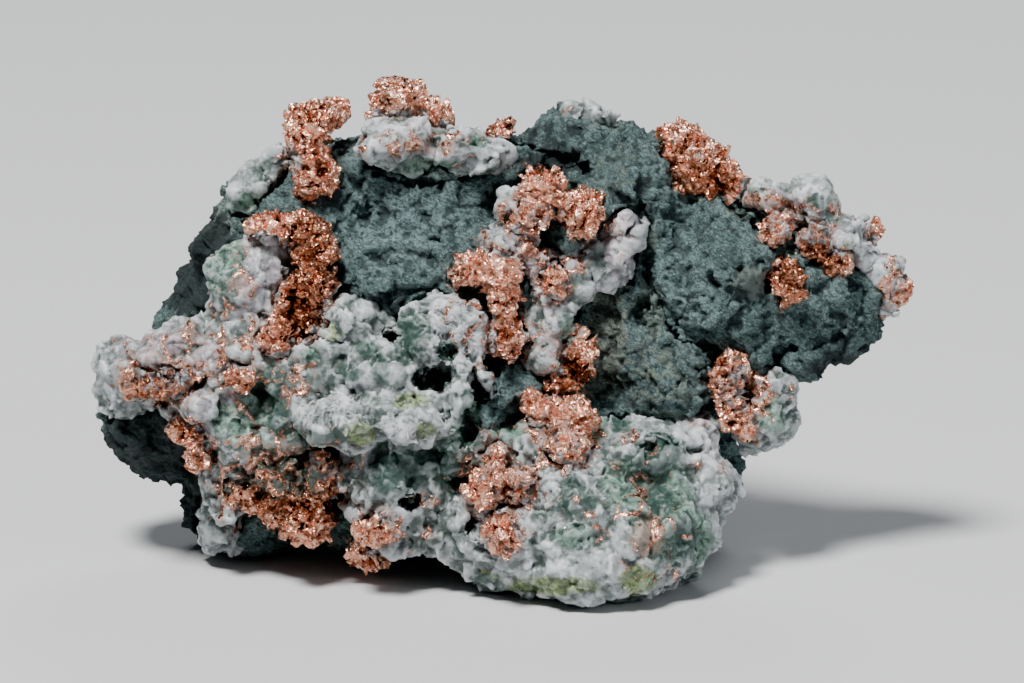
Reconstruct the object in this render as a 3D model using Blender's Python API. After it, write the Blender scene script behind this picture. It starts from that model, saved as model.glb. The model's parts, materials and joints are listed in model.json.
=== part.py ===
# Native copper specimen: hackly copper and white quartz grown in a broken piece of green altered basalt.
#
# Every mass is modelled as lumps that are fused, roughened and thinned to facets. Where one mineral sits in
# another, the pocket is the inner one grown outwards by the seat gap, so the two never touch or overlap.
# Sizes are millimetres in the picture frame until the end: X to the right, Y away from the viewer, Z up the
# picture, with Z 0 at the lowest point that shows. The finished solids are tipped on to their feet, centred
# over the origin and turned into metres.
import math
from collections import namedtuple

import bmesh
import bpy
import numpy as np
from mathutils import Euler, Matrix, Vector, noise

# Driving dimensions
METRE_PER_MM = 0.001
SEAT_GAP = 0.48             # clearance between two minerals where one sits in the other
VIEW_TILT = 15.0            # degrees that the specimen is seen from above
ORIGIN_BELOW_FLOOR = 3.9    # millimetres from the picture frame's origin up to the surface it stands on
LUMP_POINTS = 90            # points that shape the skin of one lump
LEAST_FLATS = 5             # broken flats on a lump, and how far out the nearest may cut
FLAT_DEPTH = 0.82
CUT_SHARE = 0.76            # share of the triangles that stays when the slivers along the cuts are cleared

Lump = namedtuple("Lump", "at radii turn")

# voxel: grain at which the lumps are fused, ease: rounds of smoothing, swell and chip: height of the coarse
# and the fine roughness, facet: mean area of a triangle after thinning
Skin = namedtuple("Skin", "voxel ease swell chip facet")
ROCK_SKIN = Skin(1.1, 3, 1.3, 0.75, 6.3)
QUARTZ_SKIN = Skin(0.8, 2, 0.75, 0.5, 4.2)
COPPER_SKIN = Skin(0.5, 1, 0.45, 0.45, 1.75)


def lump(at, radii, turn=0.0):
    # at and radii are (x, y, z); turn is in degrees about the line of sight, clockwise as seen
    return Lump(Vector(at), radii, turn)


HOST_ROCK = [
    lump((-10, 2, 40), (18, 15, 16)),               # rounded face left of the copper column
    lump((-25, 0, 48), (10.5, 9.5, 9)),             # shoulder under the upper left copper
    lump((-32, 3, 34), (15.5, 12, 10.5), -40),      # left wing, running down to the left tip
    lump((-33.6, 1, 42.6), (5, 8, 5.6), -30),       # its upper edge
    lump((-41, 3, 24), (9.5, 9, 8), -30),           # left tip
    lump((-32, 6.5, 13.5), (9, 10, 9.4), 20),       # left foot
    lump((-8, -1, 52), (10, 9, 6)),                 # saddle under the top knob
    lump((-16, -1, 54), (6.5, 8, 5.8)),             # left end of the saddle
    lump((2, -2, 54), (5, 7, 4.8)),                 # right end of the saddle
    lump((9, -1, 54), (9.5, 9.5, 8)),               # crest
    lump((16.4, -2, 55.4), (4.6, 6, 4.6)),          # step down from the crest
    lump((15, -4, 50), (8.5, 8, 8), 30),            # shoulder right of the crest
    lump((27, -3, 41), (12, 9.5, 11), 25),          # left half of the right plate
    lump((37.5, -2, 38.5), (11.5, 8, 8.6), 28),     # right half of the right plate
    lump((38.5, -1, 31), (3.2, 5, 2.6)),            # knob under the plate
    lump((21, -3, 28), (6.5, 8, 9)),                # column under the plate
    lump((13, 0, 38), (9, 9, 14)),                  # floor of the copper column
    lump((2, 3, 18), (24, 14, 14)),                 # lower core
    lump((-15, 2, 17), (16, 12, 12)),               # lower left core
    lump((4, 11, 24), (29, 12, 19)),                # back
    lump((-19, 9, 19.5), (14, 11, 12)),             # back left, behind the foot
    lump((20, 12, 18.5), (11, 10, 11.5)),           # back right foot
]

QUARTZ = {
    "quartz_crust": [
        # lower lobe, the foot that shows in front
        lump((12, -11, 9), (12, 11, 9.2)),
        lump((2, -10, 9), (9, 10, 7.8)),
        lump((20, -9, 9), (7.5, 9, 7.8)),
        lump((12, -14, 5), (10, 7, 5)),
        lump((25, -6.5, 14.8), (5.6, 7, 4.4)),
        lump((23.6, -5.5, 20.3), (3.4, 5, 3.6)),
        lump((16, -8.5, 17.5), (9, 8, 6.5)),
        lump((6, -10, 17), (8, 7.5, 6.5)),
        lump((-4, -8.5, 9.5), (6, 7, 5)),
        # shelf under the green face
        lump((-7.5, -12.5, 33), (6.6, 6, 5.6)),
        lump((-18.5, -11.5, 33), (5.5, 5.5, 5)),
        lump((-5, -15, 26.5), (4.6, 5, 4)),
        lump((-14, -13, 27), (8, 5.5, 4.5)),
        lump((-15, -16, 22.7), (10.5, 5.5, 3.6)),
        lump((-24.5, -11, 28), (5, 5, 5)),
        lump((-26.5, -9.5, 22), (5, 5, 4.5)),
        lump((-4.5, -13, 20), (4, 5, 4)),
        # lower left, down to the bottom edge
        lump((-13, -11, 15), (8, 6.5, 6)),
        lump((-11, -9, 9.5), (5.5, 5.5, 4)),
        # left wing
        lump((-31, -8.5, 39.5), (6, 5, 6.6)),
        lump((-31, -9.5, 31.5), (7, 5, 5)),
        lump((-39, -6.5, 29.5), (7.5, 5.5, 6), -25),
        lump((-46.3, -1, 28), (4.5, 7.5, 5.6), -15),
        lump((-35, -8, 25), (6.5, 5, 5)),
        lump((-31, -8, 20), (5, 5, 4)),
        lump((-33.4, -4, 15.5), (4, 4.5, 4.5)),
        lump((-35, 1.5, 10.5), (3.2, 5.5, 5)),
    ],
    "quartz_column": [
        lump((13.1, -8, 42.7), (4.4, 4, 3.2)),
        lump((8.5, -9, 40), (2.6, 3.4, 3.4)),
        lump((6, -9.5, 32.5), (2.8, 4, 4.4), 25),
        lump((15, -8.5, 46), (2.6, 3.5, 3.5), 12),
        lump((1.5, -11, 44.6), (3.6, 3.5, 2.6)),
        lump((1.5, -10.5, 48.8), (2.4, 3, 2.6)),
        lump((5.5, -10, 36.5), (2.6, 3, 3)),
        lump((5, -10, 42.4), (3, 3, 2.4)),
    ],
    "quartz_top_patch": [
        lump((-12.5, -8, 57.2), (5.6, 5, 3.6)),
        lump((-5.2, -8, 57), (3.4, 4.4, 3.2)),
        lump((-1.6, -8, 55.6), (2.8, 3.6, 2.3)),
    ],
    "quartz_upper_left": [
        lump((-31.5, -3.5, 51), (2.6, 4, 3), -35),
        lump((-29.5, -5, 52.8), (2.6, 3.6, 2.6)),
        lump((-27.5, -6, 55), (2.2, 3.2, 2.4)),
    ],
    "quartz_crest_cap": [
        lump((9.5, -3, 61.4), (2.5, 3, 1.7)),
        lump((13.4, -3.4, 60.8), (1.9, 2.4, 1.5)),
        lump((11.5, -3, 60.8), (2, 2.4, 1.3)),
    ],
    "quartz_right_vein": [
        lump((33, -6, 50.8), (3.4, 4.4, 2.1), 8),
        lump((38.9, -5.5, 50), (3.2, 4.8, 3.2)),
        lump((43.6, -5.5, 45.2), (4.6, 4.4, 2.4), 32),
        lump((47.9, -4.3, 41.2), (2.3, 3.8, 2.4)),
        lump((48.4, -3.5, 37.6), (1.6, 3.2, 2.4), -10),
    ],
    "quartz_hanging_lump": [
        lump((33.4, -3, 24.2), (3.8, 5.4, 5)),
        lump((31.4, -3.5, 22.8), (2.8, 4.4, 3.4)),
    ],
    "quartz_back_patch": [
        lump((-12, 17, 33), (9, 7, 6.5), 15),
        lump((-3, 19, 28), (7, 6, 5), -20),
    ],
}

COPPER = {
    "copper_top_knob": [
        lump((-12.6, -5, 62.6), (3.7, 3.4, 2.4), -10),
        lump((-8.8, -5, 61), (2.6, 3, 1.9), 25),
        lump((-14.6, -5, 61.4), (1.9, 2.6, 1.6)),
    ],
    "copper_top_spur": [lump((0.3, -4.5, 59), (1.7, 1.8, 1.3), -25)],
    "copper_upper_left": [
        lump((-22.4, -7.5, 60.4), (3.5, 3, 1.6), -15),
        lump((-24, -8.2, 57.8), (2.4, 2.8, 2.6)),
        lump((-23.4, -9, 55.4), (1.7, 2.4, 1.8)),
        lump((-22.9, -9.3, 53.3), (2.8, 2.8, 2.5)),
    ],
    "copper_left_face": [
        lump((-28.3, -11.8, 46.8), (2.8, 2.4, 1.4)),
        lump((-24.8, -11.8, 46.6), (2.6, 2.6, 1.6)),
        lump((-22.7, -11.8, 43.8), (2, 2.8, 3.6)),
        lump((-22.8, -11.8, 39.6), (2.2, 2.8, 2.6)),
        lump((-24.4, -12, 35.9), (4.2, 3.4, 4.2)),
        lump((-27.6, -13, 32.6), (2.2, 2.4, 1.8)),
    ],
    "copper_right_slab": [
        lump((22.9, -5, 57.2), (2.8, 2.6, 2), 42),
        lump((25.3, -5.4, 55), (3.2, 2.8, 2.2), 42),
        lump((28, -5.6, 53.2), (2.4, 2.4, 1.6), 35),
        lump((24, -5.6, 52.9), (1.8, 2.4, 1.4), 20),
    ],
    "copper_vesicle": [
        lump((35.3, -10, 41.4), (2, 2.4, 2.6), -15),
        lump((35.8, -9.8, 38.8), (1.3, 2, 1.4)),
    ],
    "copper_vein_root": [lump((34.2, -9, 46.5), (1.5, 2.4, 2.3), 10)],
    "copper_vein_streak": [
        lump((39.6, -8.6, 44.8), (2.6, 2.4, 1.7), 35),
        lump((41.8, -8.4, 42.7), (1.6, 2, 1.4), 20),
    ],
    "copper_right_tip": [lump((49.5, -4.3, 38.9), (1.4, 2.2, 1.8))],
    "copper_vein_bud": [lump((46.2, -5, 46.2), (1.3, 1.7, 1.2), 30)],
    "copper_column_top": [
        lump((5.4, -12, 51.2), (2.9, 2.8, 2.8), 20),
        lump((4.2, -12.6, 48.1), (2.6, 2.6, 1.7), -8),
        lump((8, -12, 49.4), (2, 2.4, 1.8), 20),
        lump((10.4, -11.6, 48.5), (2.2, 2.8, 2.6)),
    ],
    "copper_column_arm": [
        lump((-3.2, -12.6, 41.5), (3.4, 3, 2), -15),
        lump((0.4, -13, 41), (2.4, 3, 2.6)),
        lump((0.4, -12.6, 37.9), (1.8, 2.8, 2.5)),
    ],
    "copper_column_knot": [lump((0.5, -11.6, 33), (2.5, 3.2, 2.2))],
    "copper_column_strip": [lump((6.4, -11.6, 40.2), (1.4, 2.2, 2.4))],
    "copper_column_foot": [
        lump((9.3, -9.4, 30.2), (2.1, 3, 3.2), 12),
        lump((7.8, -10, 27.6), (1.7, 2.4, 1.7)),
    ],
    "copper_lobe_crown": [
        lump((4.9, -12.4, 23.7), (2, 2.8, 2.2)),
        lump((8.6, -13.6, 22.6), (2.9, 3, 2.9)),
        lump((8.4, -15.6, 19.6), (2.3, 2.8, 2.4)),
    ],
    "copper_lobe_left": [
        lump((-1.3, -13.8, 17.6), (2.3, 2.8, 2.3)),
        lump((-1.4, -16, 14.1), (2.4, 2.8, 2.3)),
        lump((2.2, -16.8, 14.6), (1.6, 2.2, 1.9)),
    ],
    "copper_lobe_low": [lump((0.1, -18.4, 8.9), (2.1, 2.6, 1.9))],
    "copper_lower_left": [
        lump((-31.7, -6.6, 14.2), (2.5, 3, 2.3)),
        lump((-28.8, -8, 15.8), (2.4, 2.8, 2.3)),
        lump((-26, -9.4, 15.9), (4.2, 3.2, 2.9)),
        lump((-22, -10.6, 15.9), (2.5, 3, 2.7)),
        lump((-25.4, -8.6, 12.8), (3, 3, 2)),
        lump((-23.8, -8, 10.4), (3.1, 3.4, 3.1)),
        lump((-28.4, -6.6, 11.6), (2, 2.8, 1.9)),
    ],
    "copper_low_edge": [lump((-16.4, -5.8, 6.5), (2.4, 3, 1.7), 10)],
    "copper_low_fleck": [lump((-15.6, -14, 9.6), (2.6, 2.6, 1.6), -10)],
    "copper_left_wing": [
        lump((-44.6, -9.4, 27.6), (2.6, 2.6, 1.8), 15),
        lump((-41.4, -11.2, 27.4), (2.8, 2.6, 1.9)),
        lump((-38.2, -12, 28), (2, 2.2, 1.2)),
    ],
    "copper_wing_edge": [
        lump((-38.4, -8, 21.2), (3.2, 2.8, 1.6), 38),
        lump((-36.7, -7.4, 19), (1.6, 2.4, 1.4)),
    ],
    "copper_wing_knot": [lump((-32.2, -13.4, 28.3), (2, 2.4, 1.8))],
    "copper_under_plate": [
        lump((28.4, -7.6, 29.6), (1.7, 2.6, 1.6), 10),
        lump((28.3, -7.8, 26.6), (1.9, 2.6, 2.7)),
        lump((29.5, -8, 22.9), (1.7, 2.4, 2.2)),
    ],
    "copper_back_nugget": [
        lump((-8, 22.5, 38), (4.2, 3.8, 3)),
        lump((-4.6, 22.5, 36), (2.6, 3, 2.2)),
    ],
    "copper_back_seam": [
        lump((20.5, 20.5, 28.5), (3.4, 3, 2.2), -35),
        lump((24, 19, 30.5), (2.6, 2.8, 1.8), -30),
    ],
}

HOLLOWS = [
    lump((6.5, -13, 54.3), (5.2, 7, 2), -5),        # overhang under the crest
    lump((-7.5, -18, 28), (2, 7, 1.9)),             # cave in the quartz shelf
    lump((-2.4, -16, 25.5), (1.4, 6, 4.4), -15),    # cleft right of the shelf
    lump((-10.9, -17, 12.8), (1.4, 4.5, 1.4)),      # pit in the lower quartz
    lump((2.2, -20, 11.6), (1.6, 3.5, 1.2)),        # pit between the lower coppers
    lump((5.7, -13, 45.6), (1.5, 4.5, 1.4)),        # shade behind the column
    lump((3.4, -13, 37.4), (0.9, 4.5, 2.3), 10),    # slot right of the copper arm
    lump((21.6, -11, 35.5), (0.8, 4, 6.3), -33),    # crack along the plate's left edge
    lump((-19.2, -13.5, 13.9), (1, 4.5, 2.4)),      # recess right of the lower left copper
    lump((-25.6, -14.5, 44.3), (1, 4, 1.4)),        # hole inside the left copper
]

ROCK_GREEN = (0.115, 0.155, 0.150, 1.0)
QUARTZ_WHITE = (0.66, 0.69, 0.68, 1.0)
COPPER_PINK = (0.80, 0.42, 0.30, 1.0)


def clear_scene():
    for item in list(bpy.data.objects):
        bpy.data.objects.remove(item)


def material(name, colour, roughness, metallic=0.0):
    made = bpy.data.materials.new(name)
    made.use_nodes = True
    shader = made.node_tree.nodes["Principled BSDF"]
    shader.inputs["Base Color"].default_value = colour
    shader.inputs["Roughness"].default_value = roughness
    shader.inputs["Metallic"].default_value = metallic
    return made


def object_of(name, bm):
    mesh = bpy.data.meshes.new(name)
    bm.to_mesh(mesh)
    bm.free()
    made = bpy.data.objects.new(name, mesh)
    bpy.context.collection.objects.link(made)
    return made


def spread_rays():
    # Directions spread evenly over a ball along a spiral
    rays = []
    for index in range(LUMP_POINTS):
        height = 1 - 2 * (index + 0.5) / LUMP_POINTS
        around = index * math.pi * (3 - math.sqrt(5))
        across = math.sqrt(1 - height * height)
        rays.append(Vector((across * math.cos(around), across * math.sin(around), height)))
    return rays


def flats_of(shape):
    # Directions and distances, as shares of the lump's own reach, of the flats where it has broken
    draw = np.random.default_rng(int(abs(shape.at.x * 131 + shape.at.y * 37 + shape.at.z * 17) * 10) + 7)
    directions = draw.normal(size=(LEAST_FLATS + round(max(shape.radii)), 3))
    directions /= np.linalg.norm(directions, axis=1)[:, None]
    return [(Vector(direction), draw.uniform(FLAT_DEPTH, 0.98)) for direction in directions]


def add_lump(bm, shape):
    # An ellipsoid cut back to its broken flats, as a closed hull inside the given mesh
    flats = flats_of(shape)
    turn = Euler((0, math.radians(shape.turn), 0)).to_matrix()
    corners = []
    for ray in spread_rays():
        reach = min([1.0] + [distance / ray.dot(way) for way, distance in flats if ray.dot(way) > distance])
        point = Vector(r * c for r, c in zip(shape.radii, ray * reach))
        corners.append(bm.verts.new(shape.at + turn @ point))
    bmesh.ops.convex_hull(bm, input=corners)


def lump_object(shape):
    bm = bmesh.new()
    add_lump(bm, shape)
    bmesh.ops.recalc_face_normals(bm, faces=bm.faces)
    return object_of("hollow", bm)


def settle(item):
    # Turns the object's modifiers into its own mesh
    graph = bpy.context.evaluated_depsgraph_get()
    item.data = bpy.data.meshes.new_from_object(item.evaluated_get(graph))
    item.modifiers.clear()
    return item


def roughen(item, skin):
    # Coarse swells and fine chips; where the fine noise dips it bites deeper, which leaves pits and ledges
    for vertex in item.data.vertices:
        place = vertex.co.copy()
        swell = noise.noise(place / (6 * skin.voxel)) * skin.swell
        chip = noise.noise(place / (2.8 * skin.voxel) + Vector((9, 2, 5)))
        vertex.co = place + vertex.normal * (swell + skin.chip * (chip + 2 * min(0.0, chip + 0.2)))


def thin(item, share):
    modifier = item.modifiers.new("thin", "DECIMATE")
    modifier.ratio = min(1.0, share)
    return settle(item)


def fused(name, shapes, skin):
    bm = bmesh.new()
    for shape in shapes:
        add_lump(bm, shape)
    bmesh.ops.recalc_face_normals(bm, faces=bm.faces)
    item = object_of(name, bm)
    fuse = item.modifiers.new("fuse", "REMESH")
    fuse.mode = "VOXEL"
    fuse.voxel_size = skin.voxel
    ease = item.modifiers.new("ease", "SMOOTH")
    ease.iterations = skin.ease
    settle(item)
    roughen(item, skin)
    area = sum(face.area for face in item.data.polygons)
    thin(item, area / skin.facet / (2 * len(item.data.polygons)))
    keep_largest_body(item)
    return item


def grown(item):
    # A copy whose skin stands off by the seat gap, for cutting the pocket that the item sits in
    bm = bmesh.new()
    bm.from_mesh(item.data)
    bm.normal_update()
    for vertex, normal in [(vertex, vertex.normal.copy()) for vertex in bm.verts]:
        lean = min(normal.dot(face.normal) for face in vertex.link_faces)
        vertex.co += normal * SEAT_GAP / max(0.5, lean)
    return object_of("pocket", bm)


def boolean(item, others, operation):
    operands = bpy.data.collections.new("operands")
    bpy.context.scene.collection.children.link(operands)
    for other in others:
        operands.objects.link(other)
    modifier = item.modifiers.new(operation, "BOOLEAN")
    modifier.operand_type = "COLLECTION"
    modifier.collection = operands
    modifier.solver = "EXACT"
    modifier.use_self = True
    modifier.operation = operation
    settle(item)
    bpy.data.collections.remove(operands)
    for other in others:
        bpy.data.objects.remove(other)
    keep_largest_body(item)
    return item


def keep_largest_body(item):
    # A cut can leave loose chips: only the largest connected body stays
    bm = bmesh.new()
    bm.from_mesh(item.data)
    unseen = set(bm.verts)
    bodies = []
    while unseen:
        found = {unseen.pop()}
        edge_of_search = list(found)
        while edge_of_search:
            vertex = edge_of_search.pop()
            near = {edge.other_vert(vertex) for edge in vertex.link_edges} & unseen
            unseen -= near
            found |= near
            edge_of_search.extend(near)
        bodies.append(found)
    largest = max(bodies, key=len)
    chips = [vertex for body in bodies if body is not largest for vertex in body]
    bmesh.ops.delete(bm, geom=chips, context="VERTS")
    bmesh.ops.triangulate(bm, faces=bm.faces)
    bm.to_mesh(item.data)
    bm.free()


def floor_block():
    # Everything below the surface is worn off flat, which leaves the small faces that the specimen stands on
    bm = bmesh.new()
    bmesh.ops.create_cube(bm, size=200.0)
    bmesh.ops.translate(bm, verts=bm.verts, vec=(0, 0, -100.0))
    return object_of("floor", bm)


def stand(items):
    # Tips each solid on to its feet, wears the feet flat, then centres the specimen over the origin in metres
    tip = Matrix.Rotation(math.radians(-VIEW_TILT), 4, "X")
    for item in items:
        item.data.transform(Matrix.Translation((0, 0, -ORIGIN_BELOW_FLOOR)) @ tip)
    for item in items:
        if min(vertex.co.z for vertex in item.data.vertices) < 0:
            boolean(item, [floor_block()], "DIFFERENCE")
    corners = np.array([tuple(vertex.co) for item in items for vertex in item.data.vertices])
    middle = (corners.min(axis=0) + corners.max(axis=0)) / 2
    for item in items:
        item.data.transform(Matrix.Scale(METRE_PER_MM, 4) @ Matrix.Translation((-middle[0], -middle[1], 0)))


def build():
    clear_scene()
    rock = material("altered_basalt", ROCK_GREEN, 0.85)
    white = material("quartz", QUARTZ_WHITE, 0.35)
    metal = material("native_copper", COPPER_PINK, 0.35, 1.0)

    coppers = [fused(name, shapes, COPPER_SKIN) for name, shapes in COPPER.items()]
    quartzes = [fused(name, shapes, QUARTZ_SKIN) for name, shapes in QUARTZ.items()]
    host = fused("host_rock", HOST_ROCK, ROCK_SKIN)
    pockets = [grown(item) for item in quartzes + coppers]
    boolean(host, pockets + [lump_object(shape) for shape in HOLLOWS], "DIFFERENCE")
    for item in quartzes:
        hollows = [lump_object(shape) for shape in HOLLOWS]
        boolean(item, [grown(copper) for copper in coppers] + hollows, "DIFFERENCE")
    for item in [host] + quartzes:
        thin(item, CUT_SHARE)

    stand([host] + quartzes + coppers)
    for items, finish in (([host], rock), (quartzes, white), (coppers, metal)):
        for item in items:
            item.data.materials.clear()
            item.data.materials.append(finish)


build()
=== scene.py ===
import json
import math

import bmesh
import bpy
import numpy as np
from mathutils import Matrix, Vector, kdtree, noise
from mathutils.bvhtree import BVHTree

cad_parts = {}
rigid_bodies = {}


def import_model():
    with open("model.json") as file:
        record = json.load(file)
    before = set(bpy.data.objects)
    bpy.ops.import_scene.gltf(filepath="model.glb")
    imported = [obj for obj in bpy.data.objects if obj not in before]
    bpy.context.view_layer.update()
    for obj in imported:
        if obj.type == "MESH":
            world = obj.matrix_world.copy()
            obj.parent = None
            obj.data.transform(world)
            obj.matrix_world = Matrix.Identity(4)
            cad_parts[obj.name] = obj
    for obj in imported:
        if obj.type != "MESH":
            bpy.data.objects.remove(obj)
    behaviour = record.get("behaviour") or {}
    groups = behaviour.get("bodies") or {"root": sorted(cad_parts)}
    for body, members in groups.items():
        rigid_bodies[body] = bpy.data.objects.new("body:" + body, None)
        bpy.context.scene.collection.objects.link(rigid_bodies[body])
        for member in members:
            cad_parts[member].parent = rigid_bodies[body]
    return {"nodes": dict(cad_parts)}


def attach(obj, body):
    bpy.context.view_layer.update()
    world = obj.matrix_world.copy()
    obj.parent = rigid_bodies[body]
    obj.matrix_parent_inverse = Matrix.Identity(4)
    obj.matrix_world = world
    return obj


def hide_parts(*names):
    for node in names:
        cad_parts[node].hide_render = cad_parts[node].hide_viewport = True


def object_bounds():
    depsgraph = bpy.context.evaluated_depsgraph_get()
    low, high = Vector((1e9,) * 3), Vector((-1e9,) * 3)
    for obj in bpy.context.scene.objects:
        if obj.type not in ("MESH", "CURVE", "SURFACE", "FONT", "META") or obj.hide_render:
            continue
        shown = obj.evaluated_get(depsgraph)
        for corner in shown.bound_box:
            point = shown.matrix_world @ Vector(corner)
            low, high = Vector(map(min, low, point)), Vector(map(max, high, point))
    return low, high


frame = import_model()
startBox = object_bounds()
metrePerMm = 0.001

# The photograph's frame: X right, Y away, Z up the picture in millimetres, seen from 15 degrees above.
# pictureShift is how far the standing specimen was moved from it.
viewTilt = math.radians(15.0)
pictureShift = Vector((-0.14, -6.80, -5.84))
awayFromCamera = np.array((0, math.cos(viewTilt), -math.sin(viewTilt)))
# What lies less far away than these counts as the front, for the tints and for the hollows
frontReach = 14
hollowReach = 4
# How far, in millimetres, the pieces may stand proud of the solids' box
proudLimit = 0.8


def turnToPicture(vectors):
    c, s = math.cos(viewTilt), math.sin(viewTilt)
    x, y, z = vectors.T
    return np.column_stack([x, y * c - z * s, y * s + z * c])


def toPicture(points):
    return turnToPicture(points) - np.array(pictureShift)


def fromPicture(x, y, z):
    c, s = math.cos(viewTilt), math.sin(viewTilt)
    x, y, z = x + pictureShift.x, y + pictureShift.y, z + pictureShift.z
    return Vector((x, y * c + z * s, -y * s + z * c))


# Node tree helpers
def addNode(tree, kind, inputs=None, **settings):
    node = tree.nodes.new(kind)
    for name, value in settings.items():
        setattr(node, name, value)
    for socket, value in (inputs or {}).items():
        if isinstance(value, bpy.types.NodeSocket):
            tree.links.new(value, node.inputs[socket])
        else:
            node.inputs[socket].default_value = value
    return node


def mathOf(tree, operation, a, b=0.0, c=None):
    inputs = {0: a, 1: b} if c is None else {0: a, 1: b, 2: c}
    return addNode(tree, "ShaderNodeMath", inputs, operation=operation).outputs[0]


def times(tree, a, b):
    return mathOf(tree, "MULTIPLY", a, b)


def vectorOf(tree, operation, a, b=(0, 0, 0)):
    node = addNode(tree, "ShaderNodeVectorMath", {0: a, 1: b}, operation=operation)
    return node.outputs["Value" if operation == "DOT_PRODUCT" else "Vector"]


def vectorFrom(tree, x, y, z):
    return addNode(tree, "ShaderNodeCombineXYZ", {0: x, 1: y, 2: z}).outputs[0]


def centred(tree, colour):
    # A noise colour as a vector about zero
    return vectorOf(tree, "SUBTRACT", colour, (0.5, 0.5, 0.5))


def doubled(tree, value):
    # A value from 0 to 1 as one from -1 to 1
    return mathOf(tree, "MULTIPLY_ADD", value, 2.0, -1.0)


def scaled(tree, vector, factor):
    return addNode(tree, "ShaderNodeVectorMath", {0: vector, "Scale": factor}, operation="SCALE").outputs[0]


def rangeOf(tree, value, low, high, newLow=0.0, newHigh=1.0, kind="SMOOTHSTEP"):
    inputs = {"Value": value, "From Min": low, "From Max": high, "To Min": newLow, "To Max": newHigh}
    return addNode(tree, "ShaderNodeMapRange", inputs, interpolation_type=kind).outputs["Result"]


def cellsOf(tree, place, scale, feature="F1"):
    return addNode(tree, "ShaderNodeTexVoronoi", {"Vector": place, "Scale": scale}, feature=feature).outputs


def leanOf(tree, place, scale):
    # A height that leans its own way inside each cell and steps at the cell's edge
    cell = cellsOf(tree, place, scale)
    reach = vectorOf(tree, "SUBTRACT", place, cell["Position"])
    return vectorOf(tree, "DOT_PRODUCT", centred(tree, cell["Color"]), reach)


def stored(tree, geometry, name, value):
    return addNode(tree, "GeometryNodeStoreNamedAttribute", {
        "Geometry": geometry, "Name": name, "Value": value}, data_type="FLOAT", domain="POINT").outputs[0]


def newTree(name, sockets):
    # sockets are (name, default), where the default's type says which kind of socket it is
    tree = bpy.data.node_groups.new(name, "GeometryNodeTree")
    tree.interface.new_socket("Geometry", in_out="INPUT", socket_type="NodeSocketGeometry")
    for socketName, value in sockets:
        kind = value if isinstance(value, str) else {bool: "Bool", int: "Int", float: "Float"}[type(value)]
        made = tree.interface.new_socket(socketName, in_out="INPUT", socket_type="NodeSocket" + kind)
        if not isinstance(value, str):
            made.default_value = value
    tree.interface.new_socket("Geometry", in_out="OUTPUT", socket_type="NodeSocketGeometry")
    return tree, addNode(tree, "NodeGroupInput").outputs


# Sprinkle: small pieces set at random on a surface, as often as its share attribute says.
# With Keep Base they stay joined to the surface, to be fused with it by a remesh.
def sprinkleTree():
    tree, given = newTree("Sprinkle", [
        ("Density", 0.2), ("Smallest", 0.4), ("Largest", 1.0), ("Sink", 0.3), ("Tilt", 3.2), ("Seed", 1),
        ("Pieces", "Collection"), ("Keep Base", False), ("Material", "Material"),
    ])
    share = addNode(tree, "GeometryNodeInputNamedAttribute", {"Name": "share"}, data_type="FLOAT").outputs[0]
    points = addNode(tree, "GeometryNodeDistributePointsOnFaces", {
        "Mesh": given["Geometry"], "Density": times(tree, given["Density"], share),
        "Seed": given["Seed"]}, distribute_method="RANDOM").outputs
    draw = addNode(tree, "FunctionNodeRandomValue", {"Seed": given["Seed"]}, data_type="FLOAT").outputs[1]
    span = mathOf(tree, "SUBTRACT", given["Largest"], given["Smallest"])
    size = mathOf(tree, "MULTIPLY_ADD", mathOf(tree, "POWER", draw, 2.0), span, given["Smallest"])
    drop = times(tree, times(tree, size, given["Sink"]), -1.0)
    sunk = addNode(tree, "GeometryNodeSetPosition", {
        "Geometry": points["Points"], "Offset": scaled(tree, points["Normal"], drop)}).outputs[0]
    negative = times(tree, given["Tilt"], -1.0)
    lowTurn = vectorFrom(tree, negative, negative, -math.pi)
    highTurn = vectorFrom(tree, given["Tilt"], given["Tilt"], math.pi)
    turn = addNode(tree, "FunctionNodeRandomValue", {
        0: lowTurn, 1: highTurn, "Seed": given["Seed"]}, data_type="FLOAT_VECTOR").outputs[0]
    spin = addNode(tree, "FunctionNodeEulerToRotation", {0: turn}).outputs[0]
    turned = addNode(tree, "FunctionNodeRotateRotation", {
        "Rotation": points["Rotation"], "Rotate By": spin}, rotation_space="LOCAL").outputs[0]
    pieces = addNode(tree, "GeometryNodeCollectionInfo", {
        "Collection": given["Pieces"], "Separate Children": True, "Reset Children": True}).outputs[0]
    placed = addNode(tree, "GeometryNodeInstanceOnPoints", {
        "Points": sunk, "Instance": pieces, "Pick Instance": True, "Rotation": turned,
        "Scale": size}).outputs[0]
    joined = addNode(tree, "GeometryNodeJoinGeometry")
    tree.links.new(given["Geometry"], joined.inputs[0])
    tree.links.new(placed, joined.inputs[0])
    chosen = addNode(tree, "GeometryNodeSwitch", {
        "Switch": given["Keep Base"], "False": placed, "True": joined.outputs[0]}, input_type="GEOMETRY")
    solid = addNode(tree, "GeometryNodeRealizeInstances", {0: chosen.outputs[0]}).outputs[0]
    painted = addNode(tree, "GeometryNodeSetMaterial", {"Geometry": solid, "Material": given["Material"]})
    addNode(tree, "NodeGroupOutput", {0: painted.outputs[0]})
    return tree


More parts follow.
